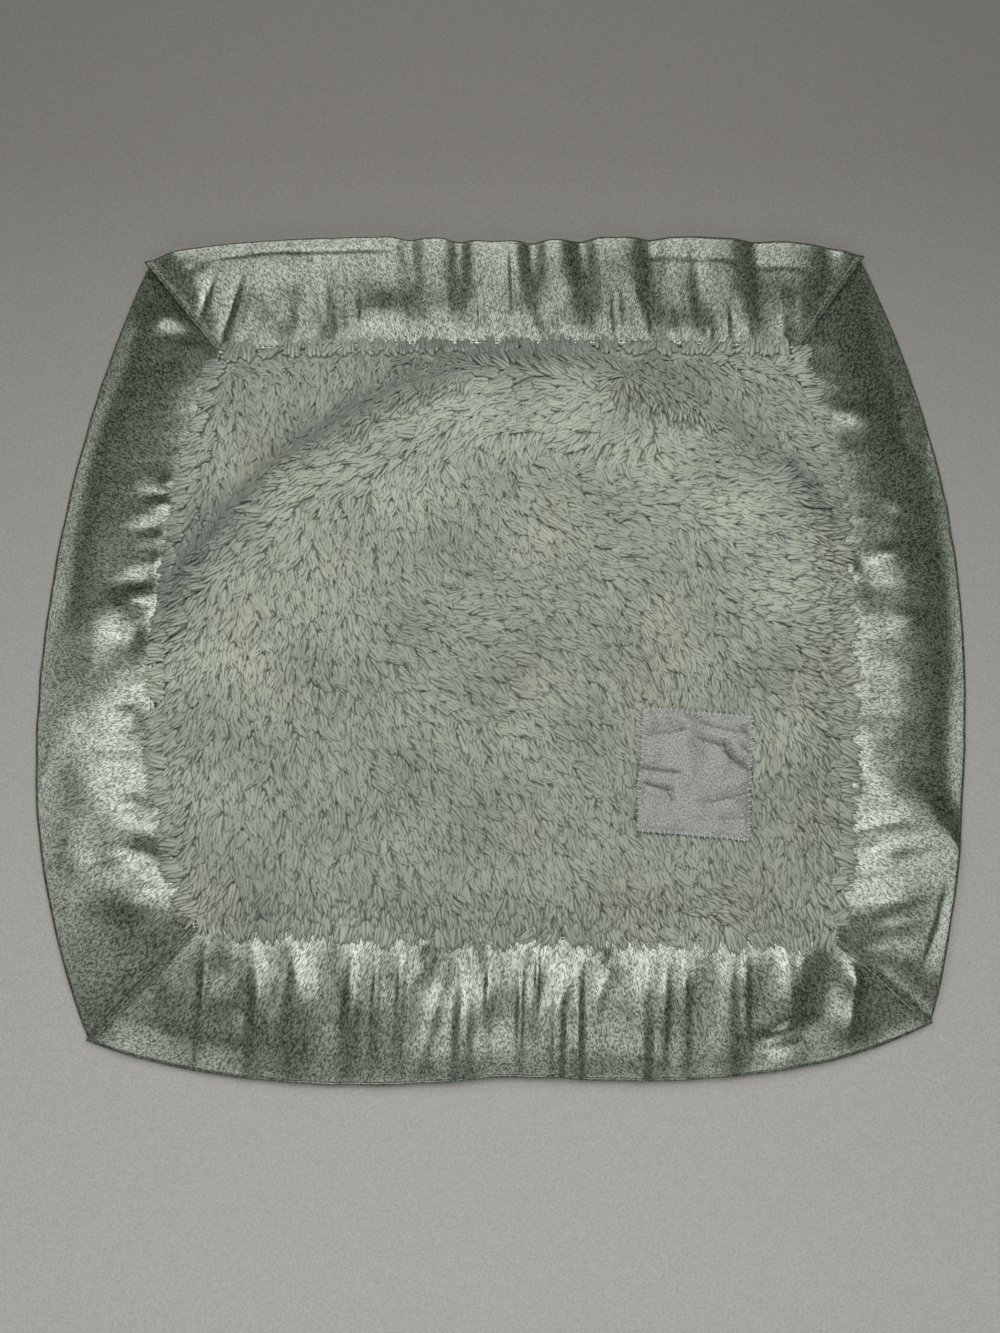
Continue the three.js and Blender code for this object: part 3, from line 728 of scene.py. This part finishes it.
def panel_cloth(name, material, slot, node, thickness, height, faces_down=False):
    """A panel with its seam allowance all round, at the height that height(plan, inside the seam) gives."""
    reach_u = SEAM_ALLOWANCE / PANEL_SPAN_X
    reach_v = SEAM_ALLOWANCE / PANEL_SPAN_Y

    def place(column, row):
        u = lerp(-reach_u, 1 + reach_u, column)
        v = lerp(-reach_v, 1 + reach_v, row)
        plan = panel_point(u, v)
        inside, _ = nearest_edge(u, v)
        return Vector((*plan, height(plan, inside)))

    cloth = cloth_grid(PANEL_CELLS, PANEL_CELLS, place, PANEL_CUT)
    if faces_down:
        bmesh.ops.reverse_faces(cloth, faces=cloth.faces)
    piece = new_object(name, cloth, material, slot, node)
    thicken(piece, thickness, -1)
    return piece


def plush_ground(material):
    """The knitted ground that carries the pile."""

    def height(plan, inside):
        return GROUND_TOP + fold_lift(plan.x, plan.y, inside)

    return panel_cloth("plush_ground", material, "plush", "front_plush_panel", GROUND_THICKNESS, height)


def satin_back(material):
    """The satin back panel, which drops from between the strips' lower legs to the table."""

    def height(plan, inside):
        return BACK_UNDER * (1 - smooth(*BACK_STEP, inside))

    piece = panel_cloth("satin_back", material, "satin", "back_satin_panel", SATIN_THICKNESS, height, True)


# Pile


def flow_direction(plan):
    """Which way the locks lie at a place."""
    offsets = FLOW_PLACES - np.array(plan)
    weights = 1 / (np.sum(offsets**2, axis=1) + FLOW_REACH**2) ** 2
    return Vector(weights @ FLOW_DIRECTIONS).normalized()


class Clump:
    """A tuft of locks that lean together: its middle, which way it lies, and where its tip ends."""

    def __init__(self, middle, direction, turn_spread, reach, on_edge, chance):
        self.middle = middle
        self.lift = EDGE_LIFT if on_edge else 0
        self.tip_share = EDGE_TIP_SHARE if on_edge else CLUMP_TIP_SHARE
        self.scallop = EDGE_SCALLOP if on_edge else 0
        turn = math.atan2(direction.y, direction.x) + chance.gauss(0, turn_spread)
        self.forward = Vector((math.cos(turn), math.sin(turn)))
        self.sideways = Vector((-self.forward.y, self.forward.x))
        self.tip = middle + self.forward * reach
        self.curl = chance.randrange(len(LOCK_CURL_SHARES))
        self.tall = chance.uniform(*CLUMP_TALL_SHARES)
        self.shade = chance.uniform(-CLUMP_SHADE, CLUMP_SHADE)


def pile_clumps(chance):
    """The clumps of the whole panel, with a row along its edge, and a search tree of their middles."""
    clumps = []
    columns = round(PANEL_SPAN_X / CLUMP_PITCH)
    rows = round(PANEL_SPAN_Y / CLUMP_PITCH)
    for row in range(rows):
        for column in range(columns):
            u = (column + 0.5 + chance.uniform(*CLUMP_SCATTER_SHARES)) / columns
            v = (row + 0.5 + chance.uniform(*CLUMP_SCATTER_SHARES)) / rows
            middle = panel_point(u, v)
            distance, outward = nearest_edge(u, v)
            if distance < EDGE_ZONE:
                continue
            direction = flow_direction(middle).lerp(outward, EDGE_OUTWARD_SHARE * bump(distance, EDGE_FADE))
            reach = CLUMP_REACH * chance.uniform(*CLUMP_REACH_SHARES)
            reach *= max(UPRIGHT_REACH_SHARE, direction.length)
            clumps.append(Clump(middle, direction, CLUMP_TURN, reach, False, chance))
    for side in sides:
        count = round(side.seam_length / EDGE_CLUMP_PITCH)
        for k in range(count):
            middle = side.inner((k + chance.uniform(*EDGE_SCATTER_SHARES)) / count)
            middle -= side.outward * EDGE_CLUMP_INSET
            direction = flow_direction(middle).lerp(side.outward, EDGE_OUTWARD_SHARE)
            reach = CLUMP_REACH * EDGE_REACH_SHARES[side.name] * chance.uniform(*EDGE_SPREAD_SHARES)
            clumps.append(Clump(middle, direction, EDGE_CLUMP_TURN, reach, True, chance))
    tree = KDTree(len(clumps))
    for k, clump in enumerate(clumps):
        tree.insert((clump.middle.x, clump.middle.y, 0), k)
    tree.balance()
    return clumps, tree


def lock_rise(along):
    """How steeply a lock rises at a share of its length."""
    return math.radians(lerp(LOCK_RISE_DEGREES, LOCK_TIP_DEGREES, along**LOCK_BEND_POWER))


def lock_line(along, curl):
    """The middle line of a lock one unit long: it rises from its root and its tip lies over."""
    step = along / LOCK_STEPS
    place = Vector((0, 0, 0))
    for k in range(LOCK_STEPS):
        rise = lock_rise((k + 0.5) * step)
        place += Vector((math.cos(rise), 0, math.sin(rise))) * step
    place.y = curl * along**2
    return place


def lock_template(curl):
    """A lock of pile: a plump strand, widest past its middle, that ends in a soft point."""
    lock = bmesh.new()
    lock_map = lock.loops.layers.uv.new("lock")
    bmesh.ops.create_uvsphere(lock, u_segments=LOCK_SIDES, v_segments=LOCK_RINGS, radius=1)
    shares = {}
    for vert in lock.verts:
        along = 1 - math.acos(clamp(vert.co.z, -1, 1)) / math.pi
        around = math.hypot(vert.co.x, vert.co.y)
        side_share, up_share = (vert.co.x / around, vert.co.y / around) if around > 0.01 else (0, 0)
        plump = math.sqrt(clamp((along + 0.05) / 0.3)) * (1 - along**3) ** 0.8
        rise = lock_rise(along)
        normal = Vector((-math.sin(rise), 0, math.cos(rise)))
        sideways = Vector((0, 1, 0)) * side_share * LOCK_WIDTH_SHARE / 2
        vert.co = lock_line(along, curl) + plump * (sideways + normal * up_share * LOCK_THICKNESS_SHARE / 2)
        shares[vert] = (0.5 + side_share / 2, along)
    for face in lock.faces:
        for loop in face.loops:
            loop[lock_map].uv = shares[loop.vert]
    return mesh_from(lock, "lock")


def turned(x, y, turn):
    return x * math.cos(turn) - y * math.sin(turn), x * math.sin(turn) + y * math.cos(turn)


def label_share(plan):
    """A place as shares of the label's half width and half height from its centre."""
    offset = plan - LABEL_CENTRE
    across, up = turned(offset.x, offset.y, -LABEL_TURN)
    return across / (LABEL_WIDTH / 2), up / (LABEL_HEIGHT / 2)


def lock_placing(plan, edge_distance, clump, chance):
    """Where a lock stands, which way it leans and how large it is, or None under the label."""
    beside = (plan - clump.middle).dot(clump.sideways)
    filler = chance.random() < FILLER_SHARE
    if filler:
        tip = plan + clump.forward * LOCK_LENGTH * LOCK_REACH_SHARE
    else:
        tip = clump.tip + clump.sideways * beside * clump.tip_share
        set_back = clump.scallop * clamp(abs(beside) / (EDGE_CLUMP_PITCH / 2)) ** 2
        tip += clump.forward * (chance.gauss(0, LOCK_SCATTER) - set_back)
    inside_root = max(abs(share) for share in label_share(plan))
    inside_tip = max(abs(share) for share in label_share(tip))
    if inside_root < LABEL_CLEAR_SHARE or inside_root < 1 and inside_tip < LABEL_TIP_CLEAR_SHARE:
        return None
    if inside_tip < 1:
        kept_share = clamp((inside_root - 1) / (inside_root - inside_tip), LABEL_SHORTENING_SHARE)
        tip = plan.lerp(tip, kept_share)
    leaning = tip - plan
    length = clamp(leaning.length / LOCK_REACH_SHARE, LOCK_SHORTEST, LOCK_LONGEST)
    turn = math.atan2(leaning.y, leaning.x) + chance.gauss(0, FILLER_TURN if filler else LOCK_TURN)
    level = fold_lift(plan.x, plan.y, edge_distance)
    slope_x = (fold_lift(plan.x + SLOPE_STEP, plan.y, edge_distance) - level) / SLOPE_STEP
    slope_y = (fold_lift(plan.x, plan.y + SLOPE_STEP, edge_distance) - level) / SLOPE_STEP
    normal = Vector((-slope_x, -slope_y, 1)).normalized()
    forward = Vector((math.cos(turn), math.sin(turn), 0))
    forward = (forward - normal * forward.dot(normal)).normalized()
    sideways = normal.cross(forward)
    rounding = 1 - CLUMP_ROUNDING_SHARE * clamp(abs(beside) / (CLUMP_PITCH / 2)) ** 2
    shortening = lerp(FOOT_SHORTENING_SHARE, 1, pile_rise(edge_distance))
    length *= shortening
    tall = LOCK_LENGTH * clump.tall * chance.uniform(*LOCK_TALL_SHARES) * rounding * shortening
    if filler:
        tall *= FILLER_HEIGHT_SHARE
    wide = LOCK_LENGTH * chance.uniform(*LOCK_WIDE_SHARES)
    placing = Matrix((forward, sideways, normal)).transposed().to_4x4()
    placing = Matrix.Translation((plan.x, plan.y, GROUND_TOP + level + clump.lift)) @ placing
    return placing @ Matrix.Diagonal((length, wide, tall, 1))


def lock_tone_and_painted_light(plan, clump, chance):
    """How pale and yellowish a lock is, from 0 to 1: random tone, with painted shade behind the ridge, along
    the top seam and at clump rims, and painted light on the field.
    """
    inside = inside_arch(plan.x, plan.y)
    # Painted shade: locks on the far side of the ridge are greyer, where that slope lies in shade
    ridge_share = lerp(1, RIDGE_PAINTED_SHADE_RIGHT_SHARE, smooth(*RIDGE_PAINTED_SHADE_FADE, plan.x))
    shade = 0.5 - RIDGE_PAINTED_SHADE * ridge_share * bump(inside - RIDGE_PAINTED_SHADE_INSET, RIDGE_PAINTED_SHADE_WIDTH)
    # Painted light: locks on the raised field inside the arch are paler, where it is lit
    shade += FIELD_PAINTED_LIGHT * bump(inside - FIELD_PAINTED_LIGHT_INSET, FIELD_PAINTED_LIGHT_WIDTH)
    shade += DRIFT_SHADE * wander(plan, DRIFT_SHADE_SPACING, 23)
    # Painted shade: locks along the top seam are darker, beside the puffed top strip
    shade -= TOP_PAINTED_SHADE * bump(top_left.y - plan.y, TOP_PAINTED_SHADE_WIDTH)
    # Painted shade: locks are darker towards their clump's rim, where shade falls between clumps
    beside = abs((plan - clump.middle).dot(clump.sideways)) / (CLUMP_PITCH / 2)
    shade += clump.shade - CLUMP_RIM_PAINTED_SHADE * clamp(beside) ** 2
    return clamp(shade + chance.uniform(-LOCK_SHADE, LOCK_SHADE))


def pile_band(band, clumps, tree, templates, material, chance):
    """The locks of one level band of the panel."""
    pile = bmesh.new()
    shades = []
    rows = LOCK_ROWS // LOCK_BANDS
    for row in range(band * rows, (band + 1) * rows):
        for column in range(LOCK_COLUMNS):
            u = clamp((column + 0.5 + chance.uniform(-0.5, 0.5)) / LOCK_COLUMNS)
            v = clamp((row + 0.5 + chance.uniform(-0.5, 0.5)) / LOCK_ROWS)
            plan = panel_point(u, v)
            _, nearest, _ = tree.find((plan.x, plan.y, 0))
            clump = clumps[nearest]
            inside, _ = nearest_edge(u, v)
            placing = lock_placing(plan, inside, clump, chance)
            if placing is None:
                continue
            lock = templates[clump.curl].copy()
            lock.transform(placing)
            pile.from_mesh(lock)
            bpy.data.meshes.remove(lock)
            shades.append(lock_tone_and_painted_light(plan, clump, chance))
    piece = new_object(f"pile_band_{band + 1}", pile, material, "plush")
    # The shade attribute holds each lock's random tone together with its painted shade and painted light
    shade = piece.data.attributes.new("shade", "FLOAT", "POINT")
    verts_each = len(piece.data.vertices) // len(shades)
    shade.data.foreach_set("value", np.repeat(shades, verts_each).astype(np.float32))
    return piece


# Label


def label_plan(across, up):
    x = across * (LABEL_WIDTH / 2 + LABEL_EDGE_WAVE * wander((up, across > 0), 0.5, 31))
    y = up * (LABEL_HEIGHT / 2 + LABEL_EDGE_WAVE * wander((across, up > 0), 0.6, 33))
    return LABEL_CENTRE + Vector(turned(x, y, LABEL_TURN))


def on_label(across, up):
    """A place on the flat label, from its centre."""
    return Vector((across * LABEL_WIDTH / 2, up * LABEL_HEIGHT / 2))


def label_height(across, up):
    """Height of the label's under face: sunk in the pile, puffed between its creases."""
    plan = label_plan(across, up)
    height = GROUND_TOP + PILE_HEIGHT - LABEL_SINK + fold_lift(plan.x, plan.y, FOLD_FADE)
    place = on_label(across, up)
    for start, end, depth, width in LABEL_CREASES:
        first = on_label(*start)
        line = on_label(*end) - first
        share = clamp((place - first).dot(line) / line.length_squared)
        away = place - first - line * share
        side = math.copysign(1, line.x * away.y - line.y * away.x)
        reach = width * MM * (CREASE_SHARP_SHARE if side < 0 else CREASE_SOFT_SHARE)
        height -= LABEL_CREASE_DEPTH_SHARE * depth * MM * bump(away.length, reach)
    for tall, spacing, seed in LABEL_SWELLS:
        height += tall * MM * wander(place, spacing * MM, seed)
    return height - LABEL_EDGE_DROP * smooth(LABEL_EDGE_SHARE, 1, max(abs(across), abs(up)))


def label_patch(material):
    def place(column, row):
        across = 2 * column - 1
        up = 2 * row - 1
        return Vector((*label_plan(across, up), label_height(across, up)))

    cloth = cloth_grid(LABEL_CELLS, LABEL_CELLS, place, (LABEL_WIDTH, LABEL_HEIGHT))
    piece = new_object("bare_label", cloth, material, "label", "label_patch")
    thicken(piece, LABEL_THICKNESS, 1)


def label_stitches(material):
    """Small overcast stitches that wrap the label's edge."""
    stitches = []
    for across_edge in (True, False):
        length, depth = (LABEL_WIDTH, LABEL_HEIGHT) if across_edge else (LABEL_HEIGHT, LABEL_WIDTH)
        count = int(length / LABEL_STITCH_PITCH)
        for edge in (-1, 1):
            for k in range(1, count):
                share = 2 * k / count - 1
                ends = []
                for reach, way in ((-LABEL_STITCH_INSIDE, -1), (LABEL_STITCH_OUTSIDE, 1)):
                    far = edge * (1 + 2 * reach / depth)
                    near = share + way * LABEL_STITCH_SLANT_SHARE * 2 / count
                    across, up = (near, far) if across_edge else (far, near)
                    top = label_height(clamp(across, -1, 1), clamp(up, -1, 1)) + LABEL_THICKNESS
                    ends.append(Vector((*label_plan(across, up), top)))
                stitches.append(ends)
    stitch_row("label_overcast", stitches, THREAD, material, "label_stitching")


# Materials


class Finish:
    """A material being made: its shader and nodes, and short ways to add and join them."""

    def __init__(self, name, **values):
        self.material = bpy.data.materials.new(name)
        self.material.use_nodes = True
        self.nodes = self.material.node_tree.nodes
        self.shader = self.nodes["Principled BSDF"]
        self.fill(self.shader, **values)

    def join(self, value, node, socket):
        """Gives a socket a plain value or another node's output."""
        if isinstance(value, bpy.types.NodeSocket):
            self.material.node_tree.links.new(value, node.inputs[socket])
        else:
            node.inputs[socket].default_value = value

    def fill(self, node, **values):
        """Fills sockets by name, where underscores stand for spaces."""
        for name, value in values.items():
            self.join(value, node, name.replace("_", " "))
        return node

    def add(self, kind, **values):
        return self.fill(self.nodes.new(kind), **values)

    def on_object(self):
        return self.nodes.new("ShaderNodeTexCoord").outputs["Object"]

    def on_map(self, name):
        source = self.nodes.new("ShaderNodeUVMap")
        source.uv_map = name
        return source.outputs["UV"]

    def part(self, place, axis):
        return self.add("ShaderNodeSeparateXYZ", Vector=place).outputs[axis]

    def mapped(self, place, scale=(1, 1, 1), turn=0):
        turned = (0, 0, math.radians(turn))
        return self.add("ShaderNodeMapping", Vector=place, Scale=scale, Rotation=turned).outputs["Vector"]

    def speckle(self, place, scale, detail=2.0):
        return self.add("ShaderNodeTexNoise", Vector=place, Scale=scale, Detail=detail).outputs["Fac"]

    def stripes(self, place, scale, distortion):
        wave = self.add("ShaderNodeTexWave", Vector=place, Scale=scale, Distortion=distortion, Detail=1)
        return wave.outputs["Fac"]

    def random_value(self, place):
        return self.add("ShaderNodeTexWhiteNoise", Vector=place).outputs["Value"]

    def vector(self, operation, sockets):
        """A step of vector arithmetic, with what goes into its sockets."""
        step = self.nodes.new("ShaderNodeVectorMath")
        step.operation = operation
        for socket, value in sockets.items():
            self.join(value, step, socket)
        return step.outputs["Vector"]

    def floats(self, place, scale, turn):
        """A random value for each float of a weave: short threads side by side that start at random."""
        place = self.mapped(place, scale, turn)
        column = self.vector("FLOOR", {0: self.vector("MULTIPLY", {0: place, 1: (1, 0, 0)})})
        start = self.add("ShaderNodeCombineXYZ", Y=self.random_value(column)).outputs["Vector"]
        return self.random_value(self.vector("FLOOR", {0: self.vector("ADD", {0: place, 1: start})}))

    def spread(self, value, low, high, from_low=0.0, from_high=1.0):
        """The value carried from one range to another."""
        ramp = self.add("ShaderNodeMapRange", From_Min=from_low, From_Max=from_high)
        return self.fill(ramp, Value=value, To_Min=low, To_Max=high).outputs["Result"]

    def blended(self, share, first, second):
        """A colour between two, each a node's output or a plain colour."""
        mix = self.nodes.new("ShaderNodeMix")
        mix.data_type = "RGBA"
        for socket, value in ((0, share), (6, first), (7, second)):
            self.join(value, mix, socket)
        return mix.outputs[2]

    def shaded(self, tint, value):
        """A colour made lighter or darker by a value."""
        return self.vector("SCALE", {0: tint, "Scale": value})

    def raised(self, height, strength, distance, **under):
        relief = self.add("ShaderNodeBump", Height=height, Strength=strength, Distance=distance)
        return self.fill(relief, **under).outputs["Normal"]

    def finish(self, **values):
        """The finished material, with what its patterns give the shader."""
        self.fill(self.shader, **values)
        return self.material


def colour(red, green, blue):
    """A colour from its values on a screen, 0 to 255."""
    linear = []
    for value in (red, green, blue):
        share = value / 255
        linear.append(share / 12.92 if share <= 0.04045 else ((share + 0.055) / 1.055) ** 2.4)
    return (*linear, 1.0)


def satin_finish():
    """Polyester satin: fine floats that shine nearly white, over a dark green that shows between them."""
    satin = Finish(
        "sage_satin", Roughness=0.31, Specular_IOR_Level=1.0, IOR=2.15, Anisotropic=0.3,
        Coat_Weight=0.2, Coat_IOR=1.6, Coat_Roughness=0.35,
    )
    place = satin.on_map("cloth")
    tangent = satin.nodes.new("ShaderNodeTangent")
    tangent.direction_type = "UV_MAP"
    tangent.uv_map = "cloth"
    grain = satin.floats(place, (2000, 850, 1), 8)
    twill = satin.stripes(satin.mapped(place, turn=62), 260, 1.2)
    tone = satin.speckle(satin.on_object(), 18)
    base = satin.blended(tone, colour(70, 82, 60), colour(80, 90, 69))
    base = satin.shaded(base, satin.spread(grain, 0.3, 2.0))
    base = satin.shaded(base, satin.spread(twill, 0.85, 1.15))
    metal = satin.spread(grain, 0.86, 0.1)
    relief = satin.raised(twill, 0.1, TWILL_RELIEF)
    return satin.finish(Base_Color=base, Metallic=metal, Normal=relief, Tangent=tangent.outputs["Tangent"])


def pile_finish():
    """Plush locks: a pale root, painted light that lifts the shade between them, and tips from grey in
    painted shade to pale in painted light, each a little different and finely stranded.
    """
    pile = Finish(
        "sage_pile", Roughness=0.85, Specular_IOR_Level=0.25, Sheen_Weight=0.25, Sheen_Roughness=0.5,
    )
    place = pile.on_map("lock")
    shade = pile.nodes.new("ShaderNodeAttribute")
    shade.attribute_name = "shade"
    tone = pile.speckle(pile.on_object(), 24)
    # Tips run from a grey in painted shade to a pale yellowish colour in painted light, by the shade
    # attribute
    grey_shaded_tip = pile.blended(tone, colour(124, 138, 131), colour(138, 141, 129))
    pale_lit_tip = pile.blended(tone, colour(186, 202, 187), colour(206, 207, 184))
    tip = pile.blended(shade.outputs["Fac"], grey_shaded_tip, pale_lit_tip)
    # Painted light: the root colour is paler than most tips, to lift the shade that falls between the locks
    body = pile.blended(pile.spread(pile.part(place, "Y"), 0, 1, 0.05, 0.45), colour(196, 205, 190), tip)
    strands = pile.speckle(pile.mapped(place, (6, 0.8, 1)), 1.0, 3.0)
    body = pile.shaded(body, pile.spread(strands, 0.89, 1.11, 0.3, 0.7))
    return pile.finish(Base_Color=body, Normal=pile.raised(strands, 0.35, STRAND_RELIEF))


def ground_finish():
    """The knitted ground between the roots."""
    ground = Finish("pile_ground", Roughness=0.95, Specular_IOR_Level=0.1)
    knit = ground.speckle(ground.on_object(), 900)
    base = ground.blended(knit, colour(150, 158, 142), colour(168, 176, 160))
    return ground.finish(Base_Color=base, Normal=ground.raised(knit, 0.5, KNIT_RELIEF))


def label_finish():
    """Woven label cloth: a fine rib with a faint gloss, bare."""
    label = Finish("bare_woven_label", Roughness=0.38, Specular_IOR_Level=0.7, Sheen_Weight=0.1)
    place = label.on_map("cloth")
    ribs = label.stripes(label.mapped(place, turn=90), 640, 0.6)
    fleck = label.speckle(label.mapped(place, (1900, 1300, 1)), 1.0)
    base = label.blended(label.spread(fleck, 0, 1, 0.28, 0.72), colour(84, 88, 83), colour(190, 194, 187))
    relief = label.raised(ribs, 0.3, RIB_RELIEF)
    return label.finish(Base_Color=base, Normal=label.raised(fleck, 0.35, FLECK_RELIEF, Normal=relief))


def thread_finish(name, dark, light):
    """Twisted sewing thread."""
    thread = Finish(name, Roughness=0.55, Specular_IOR_Level=0.4)
    twist = thread.stripes(thread.on_object(), 900, 1.0)
    base = thread.blended(twist, dark, light)
    return thread.finish(Base_Color=base, Normal=thread.raised(twist, 0.4, TWIST_RELIEF))


def table_finish():
    """A plain pale table top with a very fine grain, and painted shade that makes it a little darker towards
    the far side, where the light falls off.
    """
    table = Finish("pale_table", Roughness=0.9, Specular_IOR_Level=0.2)
    place = table.on_object()
    # Painted shade: the table darkens towards the far side, in place of the light's falloff
    far = table.spread(table.part(place, "Y"), 0, 1, *TABLE_PAINTED_SHADE_SPAN)
    base = table.blended(far, colour(191, 190, 187), colour(137, 134, 130))
    fleck = table.spread(table.speckle(place, 1400), 0.88, 1.12, 0.3, 0.7)
    return table.finish(Base_Color=table.shaded(base, fleck))


satin = satin_finish()
pile = pile_finish()
ground_cloth = ground_finish()
label_cloth = label_finish()
sage_thread = thread_finish("sage_thread", colour(76, 88, 66), colour(112, 124, 100))
# Real stitches whose pale colour is also a painted highlight along the mitre's folded edge
mitre_thread_painted_highlight = thread_finish("mitre_thread_painted_highlight", colour(140, 152, 130), colour(190, 200, 180))
label_thread = thread_finish("label_thread", colour(192, 195, 188), colour(222, 224, 218))

ground = plush_ground(ground_cloth)
satin_back(satin)
for side in sides:
    border_strip(side, satin)
    border_stitches(side, sage_thread)
for corner in range(len(sides)):
    mitre_stitches(corner, mitre_thread_painted_highlight)

chance = random.Random(8)
templates = [lock_template(curl) for curl in LOCK_CURL_SHARES]
clumps, tree = pile_clumps(chance)
bands = [pile_band(band, clumps, tree, templates, pile, chance) for band in range(LOCK_BANDS)]
for template in templates:
    bpy.data.meshes.remove(template)
label_patch(label_cloth)
label_stitches(label_thread)

# Table, lights and camera

shape = bmesh.new()
bmesh.ops.create_grid(shape, x_segments=1, y_segments=1, size=TABLE_SIZE / 2)
bmesh.ops.translate(shape, verts=shape.verts, vec=(0, 0, -TABLE_DROP))
table = placed(bpy.data.objects.new("table", mesh_from(shape, "table")))
table.data.materials.append(table_finish())

world = bpy.data.worlds.new("room")
world.use_nodes = True
room_light = world.node_tree.nodes["Background"].inputs
room_light["Color"].default_value = ROOM_COLOUR
room_light["Strength"].default_value = ROOM_STRENGTH
bpy.context.scene.world = world

for name, place, target, size, power in LIGHTS:
    lamp = bpy.data.lights.new(name, "AREA")
    lamp.shape = "RECTANGLE"
    lamp.size, lamp.size_y = size
    lamp.energy = power
    lamp.color = LIGHT_TINT
    holder = placed(bpy.data.objects.new(name, lamp))
    holder.location = place
    holder.rotation_euler = (Vector(target) - Vector(place)).to_track_quat("-Z", "Y").to_euler()

camera_data = bpy.data.cameras.new("camera")
camera_data.lens = CAMERA_LENS_MILLIMETRES
camera = placed(bpy.data.objects.new("camera", camera_data))
camera.location = CAMERA_PLACE
camera.rotation_euler = (math.radians(CAMERA_TILT_DEGREES), 0, 0)
bpy.context.scene.camera = camera
bpy.context.scene.view_settings.view_transform = "Standard"
